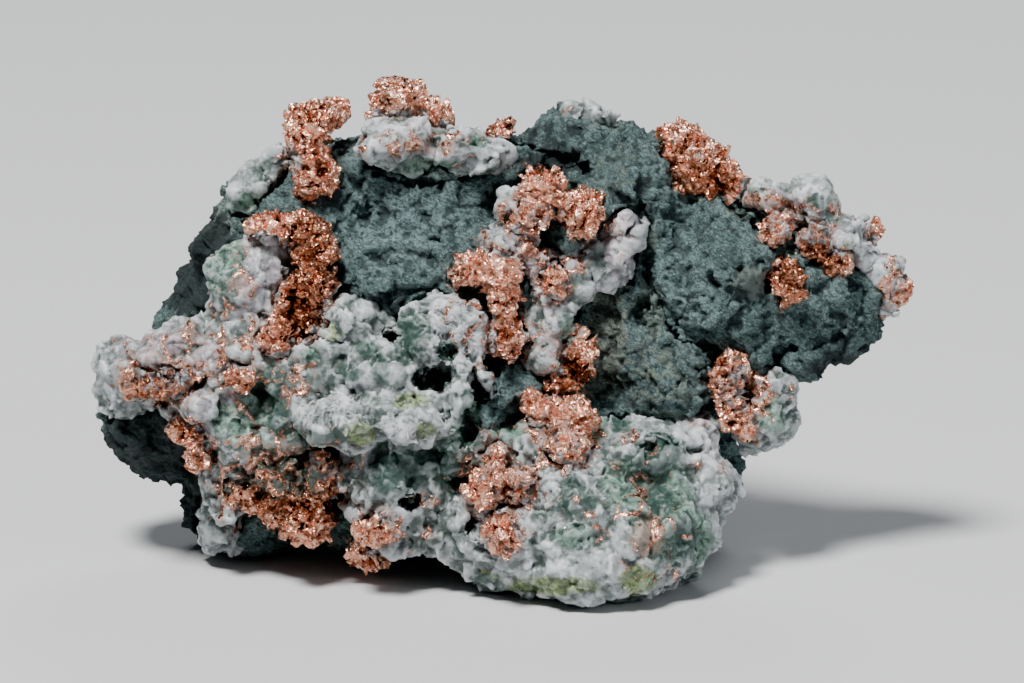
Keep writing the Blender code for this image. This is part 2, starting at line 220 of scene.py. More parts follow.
# Weathering: one tree for every mineral, with its own numbers for each. Lengths are millimetres, because
# the pieces are weathered before they are scaled to metres. It keeps how far each point stands above its
# near surroundings (relief) and its wider ones (hollow), for the colours, which paint shade and tarnish
# into the low places and highlights onto the crests.
def weatherTree():
    tree, given = newTree("Weathering", [
        ("Grow", 0.0), ("Swell Size", 6.0), ("Swell Height", 0.5), ("Ledge Size", 2.2),
        ("Ledge Height", 0.4), ("Ledge Squash", 2.2), ("Break Size", 3.0), ("Break Slope", 0.3),
        ("Chip Size", 1.1), ("Chip Slope", 0.4), ("Lump Size", 3.0), ("Lump Height", 0.0),
        ("Pit Size", 2.5), ("Pit Depth", 0.0), ("Pit Share", 0.6), ("Crumple Size", 1.2), ("Crumple", 0.0),
        ("Warp", 1.3), ("Relief Blur", 24), ("Hollow Blur", 120), ("Seed", 0.0), ("Material", "Material"),
    ])
    place = addNode(tree, "GeometryNodeInputPosition").outputs[0]
    normal = addNode(tree, "GeometryNodeInputNormal").outputs[0]
    offset = vectorFrom(tree, given["Seed"], 3.7, -8.1)
    here = vectorOf(tree, "ADD", place, offset)

    def noiseOf(where, size, detail=3.0, roughness=0.55):
        scale = mathOf(tree, "DIVIDE", 1.0, size)
        return addNode(tree, "ShaderNodeTexNoise", {
            "Vector": where, "Scale": scale, "Detail": detail, "Roughness": roughness}).outputs

    warp = scaled(tree, centred(tree, noiseOf(here, 1.3)["Color"]), given["Warp"])
    bent = vectorOf(tree, "ADD", here, warp)
    swell = times(tree, doubled(tree, noiseOf(here, given["Swell Size"])["Fac"]), given["Swell Height"])

    # Ledges: creased noise, squashed upright so that the steps run along the bedding
    tilted = addNode(tree, "ShaderNodeVectorRotate", {"Vector": bent, "Angle": math.radians(-20)},
                     rotation_type="Y_AXIS").outputs[0]
    squash = vectorFrom(tree, 1.0, 1.0, given["Ledge Squash"])
    wave = noiseOf(vectorOf(tree, "MULTIPLY", tilted, squash), given["Ledge Size"], 4.0, 0.62)["Fac"]
    crease = mathOf(tree, "ABSOLUTE", doubled(tree, wave))
    ledge = times(tree, mathOf(tree, "MULTIPLY_ADD", crease, -4.0, 0.8), given["Ledge Height"])

    # Broken flats, large and small
    def flatsOf(size, slope):
        lean = leanOf(tree, bent, mathOf(tree, "DIVIDE", 1.0, size))
        return times(tree, times(tree, lean, 2.0), slope)

    # Lumps: rounded heads like those of a botryoidal crust
    lumpScale = mathOf(tree, "DIVIDE", 1.0, given["Lump Size"])
    head = addNode(tree, "ShaderNodeTexVoronoi", feature="SMOOTH_F1")
    tree.links.new(bent, head.inputs["Vector"])
    tree.links.new(lumpScale, head.inputs["Scale"])
    head.inputs["Smoothness"].default_value = 0.2
    lump = mathOf(tree, "MULTIPLY_ADD", head.outputs["Distance"], -2.0, 0.8)
    lump = times(tree, lump, given["Lump Height"])

    pitTop = mathOf(tree, "ADD", given["Pit Share"], 0.10)
    pit = rangeOf(tree, noiseOf(here, given["Pit Size"], 2.0)["Fac"], given["Pit Share"], pitTop, 0.0, -1.0)
    pit = times(tree, pit, given["Pit Depth"])

    height = mathOf(tree, "ADD", given["Grow"], swell)
    for part in (ledge, flatsOf(given["Break Size"], given["Break Slope"]),
                 flatsOf(given["Chip Size"], given["Chip Slope"]), lump, pit):
        height = mathOf(tree, "ADD", height, part)
    crumple = centred(tree, noiseOf(here, given["Crumple Size"], 2.5)["Color"])
    push = vectorOf(tree, "ADD", scaled(tree, normal, height),
                    scaled(tree, crumple, times(tree, given["Crumple"], 2.0)))
    # How far a point lies from the nearest gap between two lumps
    edge = cellsOf(tree, bent, lumpScale, "DISTANCE_TO_EDGE")["Distance"]
    kept = stored(tree, given["Geometry"], "gap", times(tree, edge, given["Lump Size"]))
    moved = addNode(tree, "GeometryNodeSetPosition", {"Geometry": kept, "Offset": push}).outputs[0]

    # What would reach below the floor is worn flat on it
    parts = addNode(tree, "ShaderNodeSeparateXYZ", {0: place}).outputs
    above = mathOf(tree, "MAXIMUM", parts[2], 0.0)
    flat = vectorFrom(tree, parts[0], parts[1], above)
    result = addNode(tree, "GeometryNodeSetPosition", {"Geometry": moved, "Position": flat}).outputs[0]

    for name, rounds in (("relief", given["Relief Blur"]), ("hollow", given["Hollow Blur"])):
        blurred = addNode(tree, "GeometryNodeBlurAttribute", data_type="FLOAT_VECTOR")
        blurInput = next(socket for socket in blurred.inputs if socket.enabled and socket.type == "VECTOR")
        tree.links.new(place, blurInput)
        tree.links.new(rounds, blurred.inputs["Iterations"])
        average = next(socket for socket in blurred.outputs if socket.enabled)
        stands = vectorOf(tree, "DOT_PRODUCT", vectorOf(tree, "SUBTRACT", place, average), normal)
        result = stored(tree, result, name, stands)
    painted = addNode(tree, "GeometryNodeSetMaterial", {"Geometry": result, "Material": given["Material"]})
    addNode(tree, "NodeGroupOutput", {0: painted.outputs[0]})
    return tree


sprinkling = sprinkleTree()
weathering = weatherTree()


# Mesh helpers
def linked(name, data):
    item = bpy.data.objects.new(name, data)
    bpy.context.scene.collection.objects.link(item)
    return item


def meshOf(name, bm):
    mesh = bpy.data.meshes.new(name)
    bm.to_mesh(mesh)
    bm.free()
    return mesh


def settled(item):
    # Turns the object's modifiers into its own plain mesh
    graph = bpy.context.evaluated_depsgraph_get()
    item.data = bpy.data.meshes.new_from_object(item.evaluated_get(graph))
    item.modifiers.clear()
    return item


def run(item, tree, values):
    modifier = item.modifiers.new(tree.name, "NODES")
    modifier.node_group = tree
    for socket in tree.interface.items_tree:
        if socket.in_out == "INPUT" and socket.name in values:
            modifier[socket.identifier] = values[socket.name]
    return settled(item)


def vectorsOf(collection, name):
    values = np.empty(len(collection) * 3)
    collection.foreach_get(name, values)
    return values.reshape(-1, 3)


def pointsOf(mesh):
    return vectorsOf(mesh.vertices, "co")


def store(mesh, name, values):
    attribute = mesh.attributes.get(name) or mesh.attributes.new(name, "FLOAT", "POINT")
    attribute.data.foreach_set("value", np.clip(values, 0, 1).astype(np.float32))


def valuesOf(mesh, name):
    values = np.empty(len(mesh.vertices), dtype=np.float32)
    mesh.attributes[name].data.foreach_get("value", values)
    return values


def inMm(node):
    # The solid's own shape in millimetres, its loose triangles merged
    bm = bmesh.new()
    bm.from_mesh(frame["nodes"][node].data)
    bmesh.ops.remove_doubles(bm, verts=bm.verts, dist=1e-6)
    bmesh.ops.scale(bm, verts=bm.verts, vec=(1 / metrePerMm,) * 3)
    return bm


def unevenAt(points, scale):
    # Slow noise at each point, from about -1 to 1
    return np.array([noise.noise(Vector(point) * scale) for point in points])


def fading(distance, edge, width=1.0):
    # 1 well inside the edge, 0 beyond it
    return np.clip((edge - distance) / width, 0, 1)


def zoneShare(points, zones, spread=1.5):
    # How strongly each point lies in named ovals of the picture: (x, z, half width, half height, strength).
    # They lie on the front, except those whose names start with "back".
    seen = toPicture(points)
    front = fading(seen[:, 1], frontReach, 4)
    share = np.zeros(len(points))
    for name, (x, z, halfWidth, halfHeight, strength) in zones.items():
        distance = np.hypot((seen[:, 0] - x) / halfWidth, (seen[:, 2] - z) / halfHeight)
        inside = strength * fading(distance, spread, spread - 0.6)
        share = np.maximum(share, inside * (1 - front if name.startswith("back") else front))
    return share


def facing(mesh):
    # 1 where the surface faces the photograph's camera
    return np.clip(0.25 - turnToPicture(vectorsOf(mesh.vertices, "normal"))[:, 1] * 2, 0, 1)


# Hollows that the photograph shows: (x, z, half width, half height, turn in degrees, depth)
hollows = {
    "cave": (-8.2, 27.9, 2.5, 1.2, 0, 3.4), "caveRim": (-6.6, 31.4, 1, 1, 0, 1.6),
    "shelfCleft": (-3.3, 23.4, 1.2, 3.6, -20, 2.4), "shelfHole": (-13.4, 33.2, 0.8, 1, 0, 2.8),
    "quartzPit": (-11.1, 12.9, 1.2, 1.2, 0, 3.2), "lobeSidePit": (-3.2, 10.2, 1, 1.5, 0, 3.2),
    "lobeGap": (0.9, 14.4, 0.9, 1.6, 0, 3), "lowerPit": (-29.5, 13.4, 0.9, 1, 0, 2.6),
    "lowerRecess": (-20.4, 12.9, 1.5, 1.3, 0, 3.4), "leftHole": (-26, 45.5, 0.6, 1, 0, 2.2),
    "faceHollow": (-24.4, 36, 3, 3.2, 20, 2.6), "wingHole": (-41.7, 24.9, 0.8, 0.6, 0, 2.2),
    "wingTrough": (-40.3, 28.3, 3.2, 0.7, 0, 1.3), "crestShade": (6.2, 53.6, 4.2, 1.1, 5, 1.2),
    "columnSlot": (4.1, 37.8, 0.7, 2.8, 8, 0.8), "vesicleBowl": (34, 40.4, 1.5, 1.7, 0, 1.8),
    "footHollow": (8.9, 29.4, 1.5, 2.4, 15, 2.2), "lobePit": (19.6, 19.6, 2.4, 1.2, 8, 1.5),
    "faceNotch": (-7.2, 51.8, 0.45, 1.1, 0, 1.4), "faceHole": (-9.4, 48.2, 0.5, 0.5, 0, 1.3),
    "faceDent": (-8.3, 45.1, 0.8, 0.5, 0, 0.7), "plateHole": (22.7, 35.6, 0.4, 0.4, 0, 1.6),
    "patchGap": (-8.5, 55, 0.9, 0.5, 0, 1.6), "vesicleRim": (29.6, 41, 0.7, 0.8, 0, 1.2),
    "crestNotch": (16.6, 47.8, 0.9, 2, -25, 1.8), "underPlate": (26.2, 29.8, 2.2, 0.8, 20, 2),
}
# Places that stand fuller or, below zero, thinner than their solids, with the amount in the depth's place
rockSwellings = {
    "plateFoot": (34.4, 30.2, 4.6, 2, -8, 2), "plateTip": (46.5, 41, 2, 3, 0, 1),
    "glassyDome": (31, 40.2, 2.2, 1.8, 0, 0.7), "faceLeft": (-19, 46, 3, 5, 0, 0.8),
    "crestFoot": (6.2, 54, 5, 1.6, 5, 1),
}
quartzSwellings = {
    "veinKnob": (38.8, 50.6, 2.2, 2.2, 0, 0.2), "columnRight": (16.2, 46.2, 1.4, 2, 0, 1.2),
    "veinBand": (40.5, 44.8, 10, 1.6, -33, 0.6), "lumpTop": (35, 28.2, 2.6, 1.4, 0, 1),
}
copperSwellings = {
    "slab": (24.6, 54, 4.6, 2.4, -40, 0.8), "slabFoot": (28, 51, 2.4, 1.6, 0, 0.7),
    "knob": (-11.6, 63, 2.2, 2, 0, 0.5), "knobRight": (-7.4, 63.4, 1.5, 1.4, 0, -0.8),
    "knobLeft": (-16.2, 64, 1.4, 1.3, 0, -0.8), "veinRoot": (35, 43.6, 1.6, 1.6, 0, -0.9),
    "armPoint": (-5.6, 41, 1.6, 1.4, 0, -0.5), "wing": (-40, 29, 6, 3, 0, -0.4),
}
# Places where the rock comes forward between the other minerals, with the amount in the depth's place
raised = {
    "columnFloor": (7.2, 45.4, 2.4, 2.4, -15, 7.2), "slotFloor": (4.1, 38, 1.8, 3.6, 8, 3.4),
    "kneeFloor": (2, 27.4, 3.4, 2.8, 0, 6.8), "veinFloor": (34.6, 43.4, 3, 1.8, -30, 1.6),
    "kneeLow": (-1.2, 24.2, 2.2, 3.4, -10, 6),
}
swellings = {"host": rockSwellings, "quartz": quartzSwellings, "copper": copperSwellings}
# The depth that the painted shade in the hollows takes as the full one
deepest = 4
# Cracks: their points as (x, z), then half width and depth
cracks = {
    "plateEdge": ([(17.6, 48), (17.9, 44), (18.2, 40.6), (20, 37.2), (20.8, 34.4), (22.6, 32.2)], 0.28, 1.7),
    "plateFoot": ([(22.6, 32.2), (26.5, 31.9), (28.8, 30.4), (31.5, 29.0)], 0.28, 1.5),
    "faceLow": ([(-21.5, 42), (-20.6, 38.5), (-17.0, 37.9)], 0.35, 1.0),
    "faceTop": ([(-15.5, 53.4), (-12, 52.4), (-8.4, 52.2), (-3, 53.0)], 0.30, 1.0),
    "crestFacet": ([(1.0, 57.6), (4.5, 56.0), (9.0, 55.4), (11.0, 53.4)], 0.35, 1.6),
    "plateRidge": ([(27.5, 49.8), (31.0, 47.6), (33.4, 46.6)], 0.30, 0.8),
}


def ovalDistance(seen, x, z, halfWidth, halfHeight, turn):
    across, up = seen[:, 0] - x, seen[:, 2] - z
    c, s = math.cos(math.radians(turn)), math.sin(math.radians(turn))
    return np.hypot((across * c + up * s) / halfWidth, (up * c - across * s) / halfHeight)


def pressed(item):
    # Fills out the swellings, then pushes the surface back inside each hollow and crack, with ragged rims
    points = pointsOf(item.data)
    seen = toPicture(points)
    facingFront = facing(item.data)
    wobble = unevenAt(points, 0.9)
    normals = vectorsOf(item.data.vertices, "normal")
    fuller = next(zones for start, zones in swellings.items() if item.name.startswith(start))
    for *oval, amount in fuller.values():
        points += (amount * fading(ovalDistance(seen, *oval), 1.5, 0.9))[:, None] * normals
    if item.name.startswith("host"):
        for *oval, amount in raised.values():
            inside = fading(ovalDistance(seen, *oval), 1.4, 0.8) * facingFront * (seen[:, 1] < frontReach)
            points -= (amount * inside)[:, None] * awayFromCamera
    depth = np.zeros(len(points))
    for *oval, deep in hollows.values():
        inside = fading(ovalDistance(seen, *oval), 1.25 + wobble * 0.5, 0.7)
        depth = np.maximum(depth, deep * inside * inside * (3 - 2 * inside))
    for corners, halfWidth, deep in cracks.values():
        for start, end in zip(corners, corners[1:]):
            span = np.array(end) - np.array(start)
            offset = seen[:, (0, 2)] - np.array(start)
            along = np.clip(offset @ span / (span @ span), 0, 1)
            distance = np.hypot(*(offset - along[:, None] * span).T) / (halfWidth * (1 + wobble))
            depth = np.maximum(depth, deep * fading(distance, 1.5))
    depth *= facingFront * (seen[:, 1] < hollowReach)
    points += depth[:, None] * awayFromCamera
    item.data.vertices.foreach_set("co", points.ravel())
    item.data.update()
    # The hollows' depth, which the colours paint as shade
    store(item.data, "depth", depth / deepest)


# Small pieces to sprinkle, about one unit in half length
def hiddenCollection(name, meshes):
    collection = bpy.data.collections.new(name)
    for mesh in meshes:
        collection.objects.link(bpy.data.objects.new(mesh.name, mesh))
    return collection


def hullOf(name, corners):
    bm = bmesh.new()
    for corner in corners:
        bm.verts.new(corner)
    bmesh.ops.convex_hull(bm, input=bm.verts)
    bmesh.ops.delete(bm, geom=[vertex for vertex in bm.verts if not vertex.link_faces], context="VERTS")
    return meshOf(name, bm)


def chunkMesh(name, seed, count, nearest, shape):
    # A broken chunk: the hull of a few scattered corners, stretched to shape
    draw = np.random.default_rng(seed)
    corners = []
    for direction in draw.normal(size=(count, 3)):
        corner = Vector(direction).normalized() * draw.uniform(nearest, 1.0)
        corners.append([part * stretch for part, stretch in zip(corner, shape)])
    return hullOf(name, corners)


def bladeMesh(index):
    # A bladed crystal: six flattened sides that close to a chisel tip
    draw = np.random.default_rng(index + 70)
    corners = []
    for height, reach in ((-1.0, 0.32), (0.45, 0.42), (1.0, 0.10)):
        for corner in range(6):
            angle = corner * math.tau / 6 + draw.uniform(-0.12, 0.12)
            level = height + draw.uniform(-0.08, 0.08)
            corners.append((math.cos(angle) * reach, math.sin(angle) * reach * 0.5, level))
    return hullOf(f"blade{index}", corners)


flakes = hiddenCollection("flakes", [
    chunkMesh(f"flake{index}", index + 20, 9, 0.6, (1.1, 0.75, 0.30)) for index in range(8)])
grains = hiddenCollection("grains", [
    chunkMesh(f"grain{index}", index + 40, 13, 0.8, (1.0, 0.8, 1.1)) for index in range(8)])
blades = hiddenCollection("blades", [bladeMesh(index) for index in range(6)])


# Materials
def newMaterial(name):
    material = bpy.data.materials.new(name)
    material.use_nodes = True
    tree = material.node_tree
    place = scaled(tree, addNode(tree, "ShaderNodeTexCoord").outputs["Object"], 1 / metrePerMm)
    return material, tree, tree.nodes["Principled BSDF"], place


def grainOf(tree, place, size, detail=4.0, roughness=0.6):
    return addNode(tree, "ShaderNodeTexNoise", {
        "Vector": place, "Scale": 1 / size, "Detail": detail, "Roughness": roughness}).outputs["Fac"]


def mixed(tree, share, low, high):
    node = addNode(tree, "ShaderNodeMix", data_type="RGBA")
    for socket, value in ((0, share), (6, low), (7, high)):
        if isinstance(value, bpy.types.NodeSocket):
            tree.links.new(value, node.inputs[socket])
        else:
            node.inputs[socket].default_value = value if socket == 0 else (*value, 1.0)
    return node.outputs[2]


def attributeOf(tree, name):
    return addNode(tree, "ShaderNodeAttribute", attribute_name=name).outputs["Fac"]


def mottled(tree, place, size, low, high, detail=4.0, roughness=0.6):
    # Noise turned to a share: 0 at low and 1 at high
    return rangeOf(tree, grainOf(tree, place, size, detail, roughness), low, high)


def storedOf(tree, name, low, high):
    # A stored attribute turned to a share: 0 at low and 1 at high
    return rangeOf(tree, attributeOf(tree, name), low, high)


def patch(tree, place, name, size, strength=1.0, ragged=1.1):
    # The zone attribute with its edge broken up by noise
    zone = attributeOf(tree, name)
    rough = mathOf(tree, "MULTIPLY_ADD", grainOf(tree, place, size, 5.0, 0.65), ragged * 2, -ragged)
    inside = rangeOf(tree, mathOf(tree, "ADD", zone, rough), 0.38, 0.68)
    return times(tree, times(tree, inside, strength), rangeOf(tree, zone, 0.02, 0.15))


def laid(tree, colour, share, strength, tone):
    # A tone laid over a colour
    return mixed(tree, times(tree, share, strength), colour, tone)


def tinted(tree, place, colour, tones):
    # Tones laid over a colour in their zones; tones are (zone, noise size, strength, raggedness, tone)
    for name, size, strength, ragged, tone in tones:
        colour = mixed(tree, patch(tree, place, name, size, strength, ragged), colour, tone)
    return colour


def creased(tree, place, size, detail=6.0, roughness=0.65):
    # 0 along thin creases and rising away from them
    return mathOf(tree, "ABSOLUTE", doubled(tree, grainOf(tree, place, size, detail, roughness)))


def gapOf(tree, place, low, high):
    # 1 in the gaps between lumps, with an edge broken up by noise
    uneven = mathOf(tree, "MULTIPLY_ADD", grainOf(tree, place, 0.6, 4.0), 0.9, -0.45)
    return rangeOf(tree, mathOf(tree, "ADD", attributeOf(tree, "gap"), uneven), high, low)


def bumped(tree, shader, heights):
    # heights are (height socket, strength, distance in millimetres), coarse to fine
    normal = None
    for height, strength, distance in heights:
        inputs = {"Height": height, "Strength": strength, "Distance": distance * metrePerMm}
        if normal is not None:
            inputs["Normal"] = normal
        normal = addNode(tree, "ShaderNodeBump", inputs).outputs[0]
    tree.links.new(normal, shader.inputs["Normal"])


def alongBeds(tree, place):
    # The place turned and stretched so that grain runs down to the right, as the bedding does
    turned = addNode(tree, "ShaderNodeVectorRotate", {
        "Vector": place, "Angle": math.radians(-28)}, rotation_type="Y_AXIS").outputs[0]
    return vectorOf(tree, "MULTIPLY", turned, (1.0, 1.0, 1.7))


def rockColour(tree, place):
    stretched = alongBeds(tree, place)
    broad = mottled(tree, place, 7.0, 0.36, 0.64)
    colour = mixed(tree, broad, (0.068, 0.130, 0.127), (0.142, 0.230, 0.226))
    # The smooth zones hold lighter rock and painted light on shaded floors; blue and brown are the rock's
    # own tones
    colour = tinted(tree, place, colour, [
        ("smooth", 2.0, 0.8, 1.1, (0.190, 0.290, 0.294)), ("blue", 1.2, 0.85, 1.1, (0.060, 0.112, 0.124)),
        ("brown", 1.4, 0.8, 1.1, (0.205, 0.212, 0.158)),
    ])
    flecks = mottled(tree, stretched, 0.42, 0.50, 0.59, 5.0, 0.8)
    colour = laid(tree, colour, flecks, 0.60, (0.360, 0.510, 0.500))
    dark = mottled(tree, stretched, 0.75, 0.50, 0.40, 6.0, 0.76)
    colour = laid(tree, colour, dark, 0.85, (0.022, 0.044, 0.046))
    # Painted shade along thin creases, as under the edges of flakes; pale veins follow them in the blue
    # zones
    creaseLines = creased(tree, stretched, 2.6, 4.0, 0.6)
    colour = laid(tree, colour, rangeOf(tree, creaseLines, 0.045, 0.0), 0.8, (0.012, 0.022, 0.024))
    veined = times(tree, rangeOf(tree, creaseLines, 0.10, 0.03), attributeOf(tree, "blue"))
    colour = laid(tree, colour, veined, 0.6, (0.26, 0.31, 0.22))
    paleShare = times(tree, patch(tree, place, "pale", 0.8, 0.8, 1.3), rangeOf(tree, dark, 0.8, 0.1))
    colour = mixed(tree, paleShare, colour, (0.250, 0.325, 0.275))
    # Painted shade in the dark zones; the glassy zones are the rock's own tone
    colour = tinted(tree, place, colour, [
        ("glassy", 1.0, 0.8, 1.1, (0.17, 0.22, 0.20)), ("dark", 2.2, 0.90, 1.1, (0.014, 0.025, 0.026)),
    ])
    # Painted shade: darker in the low places, near black in the deep hollows
    colour = laid(tree, colour, storedOf(tree, "relief", -0.02, -0.22), 0.65, (0.014, 0.026, 0.028))
    return mixed(tree, storedOf(tree, "depth", 0.35, 0.95), colour, (0.006, 0.009, 0.010))


def quartzTints(tree, place, colour):
    clouds = mottled(tree, place, 0.9, 0.42, 0.56, 6.0, 0.7)
    sage = mixed(tree, clouds, (0.018, 0.060, 0.045), (0.130, 0.230, 0.175))
    olive = mixed(tree, clouds, (0.055, 0.090, 0.026), (0.230, 0.290, 0.105))
    # The green zones are dark green stain, with painted shade in some of them
    return tinted(tree, place, colour, [
        ("teal", 1.6, 0.9, 0.6, sage), ("olive", 1.2, 0.85, 0.8, olive),
        ("green", 1.2, 0.95, 0.7, (0.020, 0.058, 0.046)),
    ])


def quartzColour(tree, place):
    clouds = mottled(tree, place, 2.4, 0.41, 0.57, 5.0)
    colour = tinted(tree, place, mixed(tree, clouds, (0.075, 0.106, 0.096), (0.380, 0.408, 0.428)), [
        ("lilac", 2.0, 0.70, 1.1, (0.300, 0.268, 0.315)), ("bright", 1.6, 0.85, 0.9, (0.540, 0.570, 0.595)),
    ])
    # Painted highlight: lighter on the crests
    high = storedOf(tree, "relief", 0.06, 0.38)
    colour = laid(tree, colour, high, 0.48, (0.60, 0.63, 0.66))
    # Painted shade with a green tone in the gaps between lumps
    colour = laid(tree, colour, gapOf(tree, place, 0.05, 0.60), 0.4, (0.060, 0.088, 0.076))
    veils = mottled(tree, place, 3.4, 0.49, 0.40, 6.0, 0.7)
    colour = quartzTints(tree, place, laid(tree, colour, veils, 0.6, (0.062, 0.100, 0.084)))
    # More painted highlight on the crests
    colour = laid(tree, colour, high, 0.18, (0.56, 0.60, 0.62))
    colour = tinted(tree, place, colour, [("rust", 0.9, 0.5, 1.1, (0.300, 0.155, 0.115))])
    # Painted shade: darker in the low places and the wide hollows, near black in the deep hollows
    colour = laid(tree, colour, storedOf(tree, "relief", -0.08, -0.42), 0.7, (0.040, 0.070, 0.056))
    colour = laid(tree, colour, storedOf(tree, "hollow", -0.15, -0.9), 0.85, (0.018, 0.042, 0.030))
    return mixed(tree, storedOf(tree, "depth", 0.35, 0.95), colour, (0.016, 0.030, 0.022))


def crustFinish(tree, place):
    # The quartz and green crust that grows over a copper mass, as (colour, roughness, metallic)
    clouds = mottled(tree, place, 1.3, 0.40, 0.58)
    colour = mixed(tree, clouds, (0.110, 0.135, 0.130), (0.520, 0.520, 0.550))
    return quartzTints(tree, place, colour), 0.4, 0.0


def fleckFinish(tree, place):
    # Copper that shows through another mineral, as (colour, roughness, metallic)
    tone = mottled(tree, place, 0.6, 0.40, 0.60, 4.0, 0.7)
    return mixed(tree, tone, (0.46, 0.190, 0.120), (0.95, 0.62, 0.49)), 0.24, 1.0


def copperColour(tree, place):
    tone = mottled(tree, place, 1.0, 0.40, 0.60, 5.0)
    colour = mixed(tree, tone, (0.86, 0.375, 0.235), (1.00, 0.64, 0.49))
    colour = laid(tree, colour, mottled(tree, place, 2.8, 0.52, 0.64), 0.45, (0.46, 0.195, 0.125))
    pits = rangeOf(tree, creased(tree, place, 1.1, 5.0, 0.7), 0.05, 0.0)
    colour = laid(tree, colour, pits, 0.35, (0.110, 0.045, 0.028))
    spots = mottled(tree, place, 0.4, 0.54, 0.65, 4.0, 0.7)
    colour = laid(tree, colour, spots, 0.2, (0.30, 0.115, 0.065))
    # The dark zones are darker tarnish with painted shade
    colour = tinted(tree, place, colour, [("dark", 1.2, 0.8, 1.1, (0.360, 0.130, 0.062))])
    # Darker tarnish and painted shade in the low places
    colour = laid(tree, colour, storedOf(tree, "relief", 0.00, -0.26), 0.85, (0.090, 0.033, 0.019))
    # Painted light: the lit copper masses made lighter, low places too
    colour = tinted(tree, place, colour, [("bright", 1.6, 0.66, 1.1, (1.00, 0.63, 0.485))])
    # Darker tarnish and painted shade in the wide hollows
    return laid(tree, colour, storedOf(tree, "hollow", -0.30, -1.0), 0.75, (0.100, 0.040, 0.024))


def layered(tree, shader, share, under, over):
    # under and over are (colour, roughness, metallic)
    tree.links.new(mixed(tree, share, under[0], over[0]), shader.inputs["Base Color"])
    for socket, low, high in zip(("Roughness", "Metallic"), under[1:], over[1:]):
        inputs = {"Value": share, "To Min": low, "To Max": high}
        tree.links.new(addNode(tree, "ShaderNodeMapRange", inputs).outputs["Result"], shader.inputs[socket])


def glossOf(tree, place, size, smooth, rough):
    # Roughness that wanders between two values
    return rangeOf(tree, grainOf(tree, place, size), 0.3, 0.7, smooth, rough)


def rockMaterial():
    material, tree, shader, place = newMaterial("alteredBasalt")
    stretched = alongBeds(tree, place)
    fleck = patch(tree, place, "copper", 0.7, 1.0, 1.0)
    dull = glossOf(tree, place, 0.8, 0.60, 0.90)
    layered(tree, shader, fleck, (rockColour(tree, place), dull, 0.0), fleckFinish(tree, place))
    bumped(tree, shader, [
        (creased(tree, stretched, 1.7, 6.0, 0.70), 1.0, 0.80),
        (leanOf(tree, stretched, 1 / 0.85), 1.0, 0.55),
        (grainOf(tree, stretched, 0.32, 4.0, 0.8), 1.0, 0.32),
        (fleck, 1.0, 0.15),
    ])
    return material


def quartzMaterial():
    material, tree, shader, place = newMaterial("milkyQuartz")
    threads = times(tree, gapOf(tree, place, 0.15, 0.40), patch(tree, place, "threads", 2.6, 1.0, 2.0))
    fleck = mathOf(tree, "MAXIMUM", patch(tree, place, "copper", 0.7, 1.0, 1.0), threads)
    gloss = glossOf(tree, place, 0.9, 0.30, 0.58)
    layered(tree, shader, fleck, (quartzColour(tree, place), gloss, 0.0), fleckFinish(tree, place))
    shader.inputs["IOR"].default_value = 1.54
    shader.inputs["Subsurface Weight"].default_value = 0.90
    shader.inputs["Subsurface Radius"].default_value = (1.0, 1.0, 0.95)
    shader.inputs["Subsurface Scale"].default_value = 2.3 * metrePerMm
    bumped(tree, shader, [
        (leanOf(tree, place, 1 / 1.1), 1.0, 0.22),
        (leanOf(tree, place, 1 / 0.42), 1.0, 0.24),
        (grainOf(tree, place, 0.5, 4.0, 0.65), 0.7, 0.14),
        (fleck, 1.0, 0.18),
    ])
    return material


def copperMaterial():
    material, tree, shader, place = newMaterial("nativeCopper")
    crust = patch(tree, place, "quartz", 1.2, 0.95, 1.0)
    gloss = glossOf(tree, place, 0.6, 0.20, 0.38)
    layered(tree, shader, crust, (copperColour(tree, place), gloss, 1.0), crustFinish(tree, place))
    bent = vectorOf(tree, "ADD", place, scaled(tree, addNode(tree, "ShaderNodeTexNoise", {
        "Vector": place, "Scale": 2.0, "Detail": 3.0}).outputs["Color"], 0.5))
    bumped(tree, shader, [
        (leanOf(tree, bent, 1 / 0.62), 1.0, 0.62),
        (leanOf(tree, bent, 1 / 0.27), 1.0, 0.70),
        (crust, 1.0, 0.2),
    ])
    return material


rock = rockMaterial()
quartz = quartzMaterial()
copper = copperMaterial()
print("materials made")

# How each mineral's solids are dressed: voxel is the fused mesh's step, ease is how often it is smoothed,
# keep is the share of its triangles that stays, and studs are the pieces fused with it

# Host rock
rockLook = {
    "voxel": 0.38, "ease": 3, "keep": 0.68,
    "weather": {
        "Grow": -0.05, "Swell Size": 7.0, "Swell Height": 0.85, "Ledge Size": 3.4, "Ledge Height": 0.30,
        "Ledge Squash": 2.2, "Break Size": 3.8, "Break Slope": 0.28, "Chip Size": 1.6, "Chip Slope": 0.30,
        "Pit Size": 2.2, "Pit Depth": 0.35, "Pit Share": 0.62, "Crumple Size": 1.4, "Crumple": 0.10,
        "Warp": 0.7, "Relief Blur": 12, "Hollow Blur": 60, "Seed": 3.0,
    },
}
# Quartz
quartzLook = {
    "voxel": 0.30, "ease": 3, "keep": 0.75,
    "studs": {"Density": 0.05, "Smallest": 0.7, "Largest": 2.2, "Sink": 0.6, "Tilt": 3.2, "Seed": 5},
    "weather": {
        "Grow": 0.25, "Swell Size": 5.0, "Swell Height": 1.0, "Ledge Size": 2.6, "Ledge Height": 0.14,
        "Ledge Squash": 1.2, "Break Size": 2.8, "Break Slope": 0.26, "Chip Size": 1.2, "Chip Slope": 0.14,
        "Lump Size": 4.0, "Lump Height": 0.7, "Pit Size": 2.2, "Pit Depth": 0.7, "Pit Share": 0.61,
        "Crumple Size": 2.2, "Crumple": 0.50, "Warp": 0.9, "Relief Blur": 20, "Hollow Blur": 100,
        "Seed": 11.0,
    },
}
